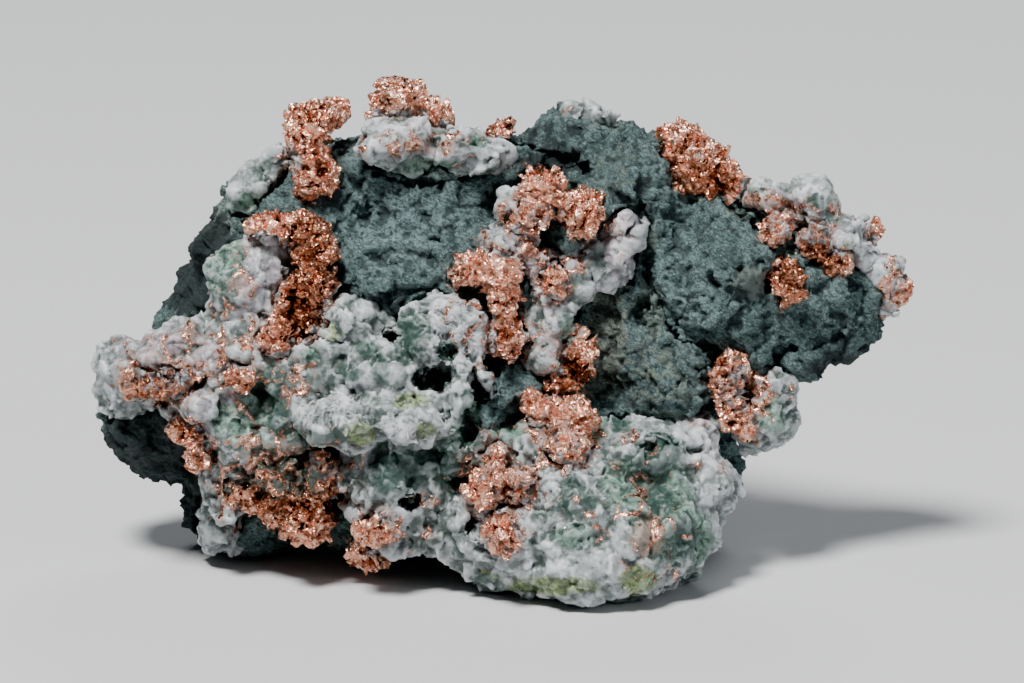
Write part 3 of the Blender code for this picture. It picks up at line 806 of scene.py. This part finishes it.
# Copper
copperLook = {
    "voxel": 0.21, "ease": 2, "keep": 0.5,
    "studs": {"Density": 0.24, "Smallest": 0.6, "Largest": 1.9, "Sink": 0.3, "Tilt": 3.2, "Seed": 9},
    "weather": {
        "Grow": 0.22, "Swell Size": 3.2, "Swell Height": 0.75, "Ledge Size": 2.1, "Ledge Height": 0.42,
        "Ledge Squash": 1.4, "Break Size": 1.9, "Break Slope": 0.62, "Chip Size": 0.8, "Chip Slope": 0.55,
        "Crumple Size": 2.4, "Crumple": 0.9, "Warp": 0.6, "Relief Blur": 12, "Hollow Blur": 90,
        "Seed": 27.0,
    },
}


def cleared(item, mergeReach=0.002, fewest=100):
    # Merges what touches and drops the bits and flaps of fewer than so many triangles that hang loose
    bm = bmesh.new()
    bm.from_mesh(item.data)
    bmesh.ops.remove_doubles(bm, verts=bm.verts, dist=mergeReach)
    bmesh.ops.triangulate(bm, faces=[face for face in bm.faces if len(face.verts) > 3])
    unseen = set(bm.faces)
    loose = []
    while unseen:
        island = [unseen.pop()]
        for face in island:
            shared = [edge.link_faces for edge in face.edges if len(edge.link_faces) == 2]
            around = {other for pair in shared for other in pair} & unseen
            unseen -= around
            island.extend(around)
        if len(island) < fewest:
            loose.extend(island)
    bmesh.ops.delete(bm, geom=loose, context="FACES")
    bm.to_mesh(item.data)
    bm.free()
    return item


def painted(item, material, flat):
    item.data.materials.clear()
    item.data.materials.append(material)
    item.data.polygons.foreach_set("use_smooth", [not flat] * len(item.data.polygons))
    return item


def skinned(node, look, pieces, material, flat):
    item = linked(node + "_skin", meshOf(node, inMm(node)))
    if pieces is not None:
        store(item.data, "share", np.ones(len(item.data.vertices)))
        run(item, sprinkling, look["studs"] | {"Pieces": pieces, "Keep Base": True, "Material": material})
    fuse = item.modifiers.new("Fuse", "REMESH")
    fuse.mode = "VOXEL"
    fuse.voxel_size = look["voxel"]
    soften = item.modifiers.new("Soften", "SMOOTH")
    soften.iterations = look["ease"]
    settled(item)
    pressed(item)
    run(item, weathering, look["weather"] | {"Material": material})
    fewer = item.modifiers.new("Fewer", "DECIMATE")
    fewer.ratio = look["keep"]
    settled(item)
    return painted(cleared(item), material, flat)


def nodesLike(start):
    return sorted(name for name in frame["nodes"] if name.startswith(start))


def trianglesOf(item):
    return sum(len(polygon.vertices) - 2 for polygon in item.data.polygons)


hostSkin = skinned("host_rock", rockLook, None, rock, False)
print("rock", trianglesOf(hostSkin))
quartzSkins = {node: skinned(node, quartzLook, grains, quartz, False) for node in nodesLike("quartz")}
print("quartz", {name: trianglesOf(item) for name, item in quartzSkins.items()})
copperSkins = {node: skinned(node, copperLook, flakes, copper, True) for node in nodesLike("copper")}
print("copper", sum(trianglesOf(item) for item in copperSkins.values()))

# Where each tint lies, as named ovals of the picture: (x, z, half width, half height, strength)
# Dark green stain in the quartz, and painted shade in the zones under the shelf, band and wing and those
# named shade
greenAndShadeZones = {
    "underShelf": (-12.6, 16.6, 3.8, 2.8, 1), "underShelfEnd": (-6, 17.2, 3, 2.8, 1),
    "shelfCleft": (-3.4, 23.5, 1.6, 4, 1), "leftBand": (-27.2, 24.2, 1.2, 3.6, 1),
    "bandLow": (-24.6, 20.4, 3.4, 1.5, 0.8), "caveTop": (-6.6, 31.4, 1.4, 1.4, 0.9),
    "aboveShelf": (-11.6, 32.4, 1.5, 3, 0.9), "lobePit": (19.8, 19.4, 3, 1.9, 1),
    "lobeHeart": (19.4, 13.2, 1.9, 2, 0.9), "lobeRight": (22.8, 8.6, 1.6, 3.2, 0.8),
    "lowerLeft": (-30.2, 15.8, 1.5, 1.2, 0.8), "rimLeft": (-2.2, 3.2, 1.8, 0.8, 0.7),
    "lobeWall": (18.4, 17, 3, 2.6, 0.9), "lobeShade": (9.8, 13.2, 3.6, 3.2, 0.62),
    "lowerWide": (-27.5, 15.6, 7, 4.2, 0.66), "footShade": (-33.6, 14.4, 2.2, 3.6, 0.7),
    "riseShade": (-10.8, 33.4, 2.2, 3.2, 0.75), "wingUnder": (-40, 24.4, 5, 1.6, 0.5),
    "faceSide": (-33.4, 38.6, 1.6, 3, 0.6), "lobeUpper": (14.6, 22.6, 1.6, 1.4, 0.8),
    "bandUnder": (-21.5, 20.6, 3.6, 0.9, 0.8), "riseFoot": (-14.6, 29.6, 1.6, 2.2, 0.7),
    "columnFoot": (-9.2, 33.8, 0.9, 2.4, 0.8), "veinKnob": (39.2, 49.8, 1.1, 1.2, 0.9),
    "petalShade": (-18.5, 28.6, 2.2, 1.2, 0.7),
}
tealZones = {
    "lobeTop": (0.8, 22.8, 3, 2.5, 1), "lobeCrown": (11.6, 22, 1.9, 2, 0.9),
    "lobeSlope": (15.5, 15, 3, 3.4, 0.9), "lobeWide": (20, 12, 4.2, 6.4, 1),
    "lobeSpot": (9, 8.6, 2.4, 1.6, 0.9), "shelfRise": (-11.2, 33.4, 1.8, 3.2, 0.7),
    "lobeRim": (24.6, 8, 2, 4.4, 0.7), "bandEnd": (-4.6, 21, 2, 2.4, 0.8),
    "faceFlank": (-33.6, 43, 2.2, 4.4, 0.8), "leftPatch": (-32.2, 22.2, 3.4, 3, 0.95),
    "lowerMiddle": (-27.5, 18.4, 4, 2.6, 0.8), "bandSide": (-29, 26, 2.4, 3.6, 0.8),
    "wingCorner": (-38.5, 32.2, 1.5, 2.4, 0.5), "shelfLeft": (-23.5, 31, 1.4, 1, 0.8),
    "shelfTop": (-15.5, 31.5, 3, 2, 0.5), "hanging": (33.6, 23.4, 2.4, 2.4, 0.8),
    "veinEnd": (43.5, 43.8, 2, 1.2, 0.6), "topBand": (-9, 53.9, 4.5, 1.4, 0.8),
    "shoulder": (-31.5, 49.6, 3.6, 1.8, 0.8), "leftSide": (-35.5, 41, 2, 4, 0.6),
    "topPatch": (-2.5, 57.2, 1.6, 1.2, 0.6), "column": (8.6, 34.4, 1.2, 2.4, 0.7),
    "back": (-3, 31, 6, 4, 0.7),
}
oliveZones = {
    "shelfMiddle": (-17.2, 21.2, 2.2, 1.5, 0.9), "shelfRight": (-9.4, 21.6, 1.6, 1.2, 0.7),
    "underCave": (-11, 25.3, 2.2, 1.1, 0.8), "upperShelf": (-20.8, 33.6, 1.6, 1.2, 0.6),
    "knot": (1.5, 30.3, 0.8, 0.8, 1), "veinRoot": (29.6, 49, 1.4, 0.8, 0.8),
    "rimMiddle": (6.4, 2.6, 5.4, 1.1, 1), "rimRight": (17, 3.4, 2.2, 1.9, 1),
    "rimLeft": (-1.6, 3.6, 1.6, 0.8, 0.8),
}
brightZones = {
    "bandLeft": (-20.3, 24.2, 5.2, 2.3, 1), "bandRight": (-10.5, 22.6, 4.6, 2.2, 0.9),
    "shelfRise": (-5.2, 33.8, 3.8, 4.8, 1), "lobeShoulder": (25.5, 18.4, 4, 5, 1),
    "lobeBottom": (8, 5.4, 10, 2.6, 0.8), "lobeCentre": (6.2, 15.2, 1.8, 1.8, 0.5),
    "leftTip": (-48.6, 27, 1.4, 4.4, 0.5), "veinStrip": (45.2, 44.2, 3.4, 2.3, 1),
    "veinKnob": (38.2, 51, 2.2, 2, 0.8), "topPatch": (-13, 57.6, 3, 1.8, 1),
    "leftQuartz": (-29.5, 44.8, 2.3, 1.5, 0.9), "wing": (-38.6, 25.6, 2, 1.8, 0.7),
    "columnDiagonal": (6.4, 33.6, 1.6, 3, 0.6), "columnTop": (2.2, 50, 1.4, 1.6, 0.9),
    "columnRight": (15, 45, 1.6, 4, 0.5), "lowerShelf": (-15.5, 13, 1.4, 2.4, 0.6),
}
rustZones = {
    "wing": (-40, 30.5, 6.2, 3.4, 0.6), "wingLow": (-40, 26, 4, 2.4, 0.65),
    "lowerLeft": (-26, 16, 8, 5, 0.6), "columnQuartz": (4, 44, 4, 4, 0.5),
    "columnFar": (14.8, 45.5, 2.2, 4.2, 0.5), "diagonal": (6, 32.5, 2.2, 2.4, 0.55),
    "lobeStain": (18, 8.6, 2.2, 2.7, 0.9), "lobeDot": (24.4, 17.4, 0.9, 0.7, 1),
    "lobeDotRight": (27.4, 17, 0.7, 0.7, 1), "lobeStreak": (24.4, 22.4, 1.3, 0.6, 1),
    "vein": (35, 49.4, 4, 1.4, 0.65), "hanging": (31.4, 26, 2, 2, 0.75),
    "leftQuartz": (-31.8, 39.3, 1.8, 1.4, 0.8), "topPatch": (-9, 56.6, 4, 1.3, 0.65),
    "foot": (-34.6, 14, 1.2, 3, 0.5),
}
# Painted shade: rock made darker where it turns away from the light or lies under and between other parts
paintedShadeRockZones = {
    "leftFoot": (-41, 16, 9, 10, 1.6), "leftShoulder": (-38, 42.5, 4.4, 7, 1.2),
    "plateUnder": (43, 29.5, 6, 2.2, 0.8), "plateRough": (42, 34.5, 5, 4, 0.45),
    "plate": (29, 41, 12, 9, 0.25), "besidePlate": (17, 26, 7, 4, 0.3),
    "crestUnder": (6, 54.2, 4.4, 2, 0.7), "cleft": (17.8, 50.5, 1.3, 4, 0.6),
    "slot": (4.1, 38, 1.1, 3.2, 0.4), "faceCorner": (-22.5, 50.8, 3, 2.2, 0.7),
    "faceEdge": (-20.4, 40.5, 1.4, 3, 0.6), "crestTop": (6.5, 58, 4.5, 2, 0.6),
    "faceFoot": (-14.5, 37.5, 4, 1.4, 0.6),
}
lilacZones = {
    "wing": (-42, 31.5, 6, 3.5, 1), "leftQuartz": (-30, 42, 5, 5, 0.7),
    "columnRight": (15.2, 45, 2.6, 6, 0.9), "column": (4, 45, 5, 6, 0.6),
    "topPatch": (-12, 58, 6, 2, 0.6), "vein": (44, 45, 6, 3, 0.7), "left": (-36, 24, 5, 4, 0.6),
}
# Where copper runs in threads between the quartz grains
threadZones = {
    "wing": (-40, 30, 7.5, 5, 0.5), "faceSide": (-32.5, 37, 4, 6, 0.45),
    "patch": (-36.5, 24, 4.5, 4.5, 0.45), "lowerLeft": (-28, 17, 8.5, 5.5, 0.7),
    "bottomEdge": (-24, 10, 9, 3, 0.9), "lobeLeft": (0.5, 15, 5, 5.5, 0.7),
    "columnTop": (5, 47, 6, 7, 0.75), "columnMiddle": (0, 38, 6, 8, 0.8), "vein": (36, 48.5, 6, 2.5, 0.6),
    "topPatch": (-9, 57, 7, 2.2, 0.6), "hanging": (31, 26, 3.4, 4, 0.85), "tip": (48.5, 40, 2.4, 4, 0.8),
    "lobeSpecks": (17.5, 11, 5, 7, 0.5), "crown": (7.5, 22, 6, 5, 0.7), "upperLeft": (-25, 55, 4, 6, 0.8),
    "foot": (-15, 9, 5, 3, 0.7), "shelfLeft": (-26, 27.5, 3.4, 3.4, 0.5),
}
# Where quartz or green crust breaks up a copper mass
crustZones = {
    "lowerLeft": (-27, 17, 7.5, 4.2, 0.6), "upperLeft": (-25.4, 54.6, 1.2, 2.2, 0.6),
    "knob": (-15.2, 60.6, 1.2, 1, 0.6), "faceLeft": (-29, 44.8, 2.3, 1.5, 0.8),
    "wing": (-41, 29.8, 7, 4, 0.5), "column": (4, 46, 6, 6, 0.4), "crown": (7, 21, 4, 4, 0.4),
    "lobeLeft": (1, 15, 4, 4, 0.42), "vein": (38, 47, 6, 4, 0.5), "hanging": (30, 27, 3, 4, 0.5),
}
# Smoother, lighter rock, and painted light on the shaded floors beside the column and at the knee
smoothAndLitZones = {
    "columnFloor": (7.2, 45.4, 3, 3, 1), "knee": (1, 26.4, 5, 4.6, 1),
    "plate": (23.4, 36.4, 3.8, 3.8, 0.7), "faceMiddle": (-15, 45.5, 6.5, 4.5, 0.9),
    "top": (-6, 46, 4, 3, 0.5),
}
brownZones = {"columnRight": (13.2, 33.0, 2.6, 6.4, 1), "cleftFoot": (12.0, 27.2, 2.4, 2.0, 0.7)}
blueZones = {
    "underPlate": (19.8, 28.4, 3.8, 4.2, 1), "besideColumn": (16.2, 39.4, 1.8, 2.2, 0.9),
    "crest": (15, 53.5, 3.5, 3, 0.5),
}
paleZones = {
    "crackSide": (19, 35.8, 1.3, 3.4, 0.9), "leftRim": (-35, 47.5, 2.2, 3.8, 0.8),
    "crest": (13.2, 59.8, 3, 1.2, 0.6), "topBand": (-9, 53, 4.6, 0.9, 0.6),
    "plateTop": (18.9, 45.6, 0.8, 2.4, 0.7), "plateCorner": (29.4, 48.6, 2, 0.8, 0.7),
    "blueFlecks": (20, 28, 3.6, 4, 0.35), "leftFootFlecks": (-41, 18, 5, 7, 0.35),
    "plateLow": (36.8, 27.4, 1.2, 0.9, 0.6),
}
glassyZones = {"vesicle": (31.2, 39.9, 2.4, 2.0, 1)}
# Painted light: the copper masses that face the light made lighter
copperPaintedLightZones = {
    "arm": (-1.6, 40.6, 5.4, 2.4, 1), "crown": (7.6, 22.4, 4.4, 3, 0.9),
    "top": (4.4, 50.4, 3.4, 2.6, 0.7), "knob": (-10.4, 62, 4.6, 2.4, 0.7),
    "lobeLeft": (0.8, 16.4, 2.6, 2.6, 0.5), "slabTop": (23.2, 56.4, 2.6, 1.8, 0.5),
}
# Darker tarnish with painted shade: copper in hollows and troughs and under the slab
copperShadeAndTarnishZones = {
    "faceHollow": (-23.8, 36, 3.4, 3.8, 1), "footHollow": (8.8, 28.8, 2, 3, 0.9),
    "wingTrough": (-40.5, 28.4, 3.5, 0.8, 0.9), "veinStreak": (40, 43.7, 3, 2.4, 0.9),
    "wing": (-40, 27, 8, 8, 0.6), "vesicle": (36.4, 40.4, 2.4, 4, 0.8), "hanging": (30, 26, 3, 4, 0.45),
    "lowerLeft": (-26, 13, 8, 5, 0.6), "face": (-23, 41, 3.6, 9, 0.75),
    "slabUnder": (25.5, 52.6, 4.4, 2.8, 0.75),
}
# Where copper shows in small masses, crumbs and threads
copperZones = {
    "wingVein": (-34.4, 31.8, 0.8, 3.6, 1), "wingDiagonal": (-37.6, 32.6, 1.5, 0.7, 0.9),
    "wingRow": (-39.5, 28.4, 4.6, 1.2, 1), "wingTop": (-44.5, 33, 1.1, 0.8, 0.6),
    "wingLeft": (-45.6, 28.8, 1.2, 2.2, 0.7), "wingHole": (-42, 25.9, 1.4, 1.2, 1),
    "wingRim": (-45.6, 26.6, 0.9, 0.7, 0.9), "edgeRun": (-38.6, 22.4, 2.6, 1.2, 1),
    "edgeLow": (-36.9, 20.4, 1.5, 0.9, 0.8), "edgeKnot": (-38.2, 18.6, 1.2, 1.1, 0.8),
    "patchTop": (-32.5, 24.4, 1.2, 1.2, 0.8), "faceFoot": (-30.8, 32.2, 3, 1.1, 1),
    "faceLeft": (-33.4, 36.2, 2.2, 1.1, 0.7), "faceDots": (-32.6, 43.8, 1.2, 1, 0.5),
    "lowerSpread": (-27, 17.4, 6.4, 2.4, 0.9), "lowerRight": (-21.2, 15.5, 1.9, 3, 0.9),
    "lowerTop": (-26.6, 21, 1.1, 0.8, 0.7), "bandDot": (-25.5, 28, 1, 0.8, 0.8),
    "bandThread": (-23, 28.3, 0.7, 1.6, 0.7), "bottomEdge": (-25, 9.6, 5, 1.8, 0.9),
    "bottomRight": (-20.5, 7.6, 2.6, 1.3, 0.8), "bottomFleck": (-17.6, 5.4, 1.8, 1, 0.9),
    "quartzFoot": (-15, 9, 2.6, 1.4, 1), "pitRim": (-9.2, 12.9, 1.9, 1.1, 1),
    "lowDot": (-8.8, 8.7, 0.8, 1.4, 1), "lobeSide": (-0.4, 15.6, 3, 4.2, 0.9),
    "lobeArm": (3.3, 15, 1.8, 3.4, 0.9), "lobeUpper": (-2, 21.4, 1.9, 1.3, 0.8),
    "crown": (7.2, 21.8, 3.8, 3.5, 0.8), "lobeDotA": (7.8, 10.6, 0.8, 1.1, 1),
    "lobeDotB": (11.1, 11.3, 1, 0.6, 1), "lobeDotC": (17.4, 13.6, 0.8, 1.4, 1),
    "lobeDotD": (16, 20.8, 1.3, 1, 0.9), "lobeDotE": (14.2, 17.4, 0.9, 0.8, 0.8),
    "lobeDotF": (19, 10.6, 0.8, 0.7, 0.9), "lobeDotG": (16.6, 7.6, 0.7, 0.7, 0.9),
    "lobeDotH": (19.2, 3.2, 0.5, 0.5, 1), "lobeDotI": (21.6, 3.7, 0.5, 0.9, 1),
    "lobeDotJ": (5.7, 13.2, 0.7, 0.7, 0.7), "lobeDotK": (9.4, 13.2, 0.7, 0.6, 0.8),
    "lobeDotL": (24.4, 17.4, 0.5, 0.4, 0.9), "crownTop": (8.8, 26.4, 2.6, 1.3, 0.8),
    "footSpill": (8.2, 28.8, 2.5, 4, 0.8), "knotSpill": (-0.2, 33, 3, 3, 0.8),
    "armSpill": (-3, 41, 4.8, 2.1, 0.9), "armTop": (-2.2, 45.6, 1.1, 1.6, 0.9),
    "armCurl": (3.4, 43.6, 1.1, 1.4, 0.8), "topSpill": (4.6, 49.8, 3.4, 3.8, 0.8),
    "topRight": (9.8, 48, 3, 3.2, 0.95), "topFar": (13.4, 47, 1.5, 1.1, 0.7),
    "smallKnot": (9.9, 42, 1.2, 1.2, 1), "stripLow": (6.4, 38.6, 0.9, 3.2, 0.9),
    "vein": (32.2, 50.2, 3, 1, 0.9), "veinLow": (33.4, 48.2, 2.2, 1, 0.8),
    "veinEdge": (41.6, 49.2, 0.9, 2, 0.8), "veinInner": (40.6, 46.6, 1.8, 0.8, 0.7),
    "streak": (40.2, 43.8, 2.8, 2.4, 0.8), "bud": (46.6, 45.4, 1.1, 1, 0.9),
    "tipEdge": (48.6, 41.5, 1.2, 2.2, 0.8), "tip": (49.4, 38.2, 1.2, 1.5, 0.9),
    "underPlate": (30, 27.4, 2.6, 3.6, 0.95), "underRight": (31.8, 26.8, 2.1, 1.3, 0.7),
    "lumpLow": (31.8, 20.2, 0.9, 0.8, 0.7), "lumpRight": (36.2, 26.5, 0.7, 2, 0.6),
    "patchDotA": (-17, 56.5, 0.8, 0.8, 1), "patchDotB": (-10.9, 56.9, 1.3, 1.2, 1),
    "patchDotC": (-6.6, 56.5, 1.1, 1.2, 1), "patchDotD": (-12.8, 55.8, 1.1, 0.6, 0.8),
    "topEdge": (-19.3, 61.2, 1.2, 0.8, 0.9), "saddleDot": (2.4, 54.8, 1.1, 0.7, 0.8),
    "crestDot": (8, 61.2, 0.9, 0.6, 0.8), "crestFar": (14.8, 61.6, 0.6, 0.5, 0.8),
}


def treeOf(items):
    # A search tree of every fifth point of the pieces
    points = np.concatenate([pointsOf(item.data)[::5] for item in items])
    tree = kdtree.KDTree(len(points))
    for index, point in enumerate(points):
        tree.insert(point, index)
    tree.balance()
    return tree


copperTree = treeOf(copperSkins.values())
quartzTree = treeOf(quartzSkins.values())
hostBody = inMm("host_rock")
hostTree = BVHTree.FromBMesh(hostBody)
hostBody.free()


def near(tree, points, reach):
    # 1 on the tree's points, 0 beyond the reach
    return np.clip(1 - np.array([tree.find(point)[2] for point in points]) / reach, 0, 1)


def clearOfHost(points):
    # 1 where a point stands clear of the host rock, 0 where it lies against it
    distances = np.array([hostTree.find_nearest(Vector(point))[3] for point in points])
    return np.clip(distances / 0.9 - 0.6, 0, 1)


def copperShare(mesh, reach):
    # How much copper shows on another mineral: in its zones, and within reach of a copper mass
    points = pointsOf(mesh)
    ragged = unevenAt(points, 0.8)
    zones = zoneShare(points, copperZones, 1.3) * facing(mesh) * np.clip(0.75 + ragged * 1.2, 0, 1)
    return np.maximum(zones, near(copperTree, points, reach) * np.clip(0.6 + ragged * 2.0, 0, 1))


def tint(item, zonesByName):
    for name, zones in zonesByName.items():
        store(item.data, name, zoneShare(pointsOf(item.data), zones))


def strengthen(item, name, share):
    store(item.data, name, np.maximum(valuesOf(item.data, name), share))


tints = {"green": greenAndShadeZones, "teal": tealZones, "lilac": lilacZones}
quartzZones = tints | {
    "olive": oliveZones, "bright": brightZones, "rust": rustZones, "threads": threadZones,
}
rockZones = {
    "dark": paintedShadeRockZones, "smooth": smoothAndLitZones, "brown": brownZones, "blue": blueZones, "pale": paleZones,
    "glassy": glassyZones,
}
copperTints = tints | {"dark": copperShadeAndTarnishZones, "bright": copperPaintedLightZones, "quartz": crustZones}
# How far, in millimetres, copper shows on quartz and rock, and quartz on rock and copper
rustReach, quartzFleckReach, rockFleckReach, crumbReach = 1.6, 1.6, 1.2, 1.5
paleReach, crustReach = 1.8, 1.8
for item in quartzSkins.values():
    tint(item, quartzZones)
    strengthen(item, "rust", near(copperTree, pointsOf(item.data), rustReach))
    store(item.data, "copper", copperShare(item.data, quartzFleckReach) * 0.8)
tint(hostSkin, rockZones)
strengthen(hostSkin, "pale", near(quartzTree, pointsOf(hostSkin.data), paleReach) * 0.6)
store(hostSkin.data, "copper", copperShare(hostSkin.data, rockFleckReach) * 0.65)
for item in copperSkins.values():
    tint(item, copperTints)
    strengthen(item, "quartz", near(quartzTree, pointsOf(item.data), crustReach) * 0.80 + 0.10)
print("tints placed")


def scatter(name, sources, pieces, look, material, shareOf):
    # Sprinkles pieces on copies of the finished skins and joins what was sprinkled into one mesh
    bm = bmesh.new()
    for source in sources:
        item = linked(name, source.data.copy())
        store(item.data, "share", shareOf(item.data))
        run(item, sprinkling, look | {"Pieces": pieces, "Keep Base": False, "Material": material})
        bm.from_mesh(item.data)
        bpy.data.objects.remove(item)
    for vertex in bm.verts:
        vertex.co.z = max(0.0, vertex.co.z)
    joined = painted(linked(name, meshOf(name, bm)), material, True)
    print(name, trianglesOf(joined))
    return joined


def crumbShare(mesh):
    share = copperShare(mesh, crumbReach)
    if "threads" in mesh.attributes:
        inGaps = fading(valuesOf(mesh, "gap"), 0.6, 0.3)
        broken = np.clip(0.2 + unevenAt(pointsOf(mesh), 0.4) * 3, 0, 1)
        share = np.maximum(share, valuesOf(mesh, "threads") * inGaps * facing(mesh) * broken)
    return share


def grainShare(mesh):
    # Loose grains keep off the rock and out of the hollows
    return clearOfHost(pointsOf(mesh)) * np.clip(1 - valuesOf(mesh, "depth"), 0, 1)


def bladeShare(mesh):
    # Blades stand only on the clean quartz of the shelf
    bladed = {name: brightZones[name] for name in ("bandLeft", "bandRight", "shelfRise")}
    return zoneShare(pointsOf(mesh), bladed, 1.2) * facing(mesh)


crumbLook = {"Density": 2.4, "Smallest": 0.18, "Largest": 0.70, "Sink": 0.35, "Tilt": 3.2, "Seed": 31}
speckLook = {"Density": 1.2, "Smallest": 0.16, "Largest": 0.50, "Sink": 0.35, "Tilt": 3.2, "Seed": 37}
grainLook = {"Density": 0.10, "Smallest": 0.25, "Largest": 0.65, "Sink": 0.6, "Tilt": 3.2, "Seed": 41}
bladeLook = {"Density": 1.3, "Smallest": 0.5, "Largest": 1.2, "Sink": 0.3, "Tilt": 0.8, "Seed": 43}
copperCrumbs = scatter("copper_crumbs", quartzSkins.values(), flakes, crumbLook, copper, crumbShare)
copperSpecks = scatter("copper_specks", [hostSkin], flakes, speckLook, copper, crumbShare)
quartzGrains = scatter("quartz_grains", quartzSkins.values(), grains, grainLook, quartz, grainShare)
bladedSkins = [quartzSkins["quartz_crust"]]
quartzBlades = scatter("quartz_blades", bladedSkins, blades, bladeLook, quartz, bladeShare)


def finished(item, nodes=()):
    # What stands proud of the solids' box is eased back to within a little of it
    points = pointsOf(item.data)
    low, high = (np.array(corner) / metrePerMm for corner in startBox)
    over = points - np.clip(points, low, high)
    points += np.sign(over) * proudLimit * (1 - np.exp(-np.abs(over) / proudLimit)) - over
    points[:, 2] = np.maximum(points[:, 2], 0)
    item.data.vertices.foreach_set("co", points.ravel())
    item.data.transform(Matrix.Scale(metrePerMm, 4))
    item.data.update()
    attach(item, "root")
    if nodes:
        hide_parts(*nodes)


finished(hostSkin, ["host_rock"])
for node, item in quartzSkins.items():
    finished(item, [node])
for node, item in copperSkins.items():
    finished(item, [node])
for item in (copperCrumbs, copperSpecks):
    finished(item)
for item in (quartzGrains, quartzBlades):
    finished(item)
for collection in (flakes, grains, blades):
    for piece in list(collection.objects):
        bpy.data.objects.remove(piece)
    bpy.data.collections.remove(collection)

# Floor, lights and camera
bm = bmesh.new()
bmesh.ops.create_grid(bm, x_segments=1, y_segments=1, size=4.0)
floor = linked("floor", meshOf("floor", bm))
floorMaterial = bpy.data.materials.new("paleFloor")
floorMaterial.use_nodes = True
floorShader = floorMaterial.node_tree.nodes["Principled BSDF"]
floorShader.inputs["Base Color"].default_value = (0.56, 0.57, 0.58, 1.0)
floorShader.inputs["Roughness"].default_value = 0.9
floor.data.materials.append(floorMaterial)


def addLight(name, place, size, power, colour, aim=Vector((0.0, 0.0, 0.03))):
    light = bpy.data.lights.new(name, "AREA")
    light.shape = "DISK"
    light.size = size
    light.energy = power
    light.color = colour
    item = linked(name, light)
    item.location = place
    item.rotation_euler = (aim - Vector(place)).to_track_quat("-Z", "Y").to_euler()


addLight("keyLight", (-0.28, -0.48, 1.08), 0.32, 50.0, (1.0, 0.985, 0.965))
addLight("fillLight", (0.95, -0.80, 0.55), 0.50, 7.0, (0.93, 0.96, 1.0))
addLight("rimLight", (0.25, 0.85, 0.75), 0.40, 8.0, (0.95, 0.97, 1.0))

bpy.context.scene.view_settings.look = "AgX - Punchy"
world = bpy.data.worlds.new("studio")
bpy.context.scene.world = world
world.use_nodes = True
world.node_tree.nodes["Background"].inputs["Color"].default_value = (0.80, 0.86, 0.95, 1.0)
world.node_tree.nodes["Background"].inputs["Strength"].default_value = 0.12

camera = bpy.data.cameras.new("camera")
camera.sensor_width = 36.0
camera.lens = 281.25
camera.clip_start, camera.clip_end = 0.05, 20.0
cameraPlace = fromPicture(1.5, -1000.0, 32.56)
cameraObject = linked("camera", camera)
cameraObject.location = cameraPlace * metrePerMm
cameraObject.rotation_euler = (math.radians(90) - viewTilt, 0, 0)
bpy.context.scene.camera = cameraObject
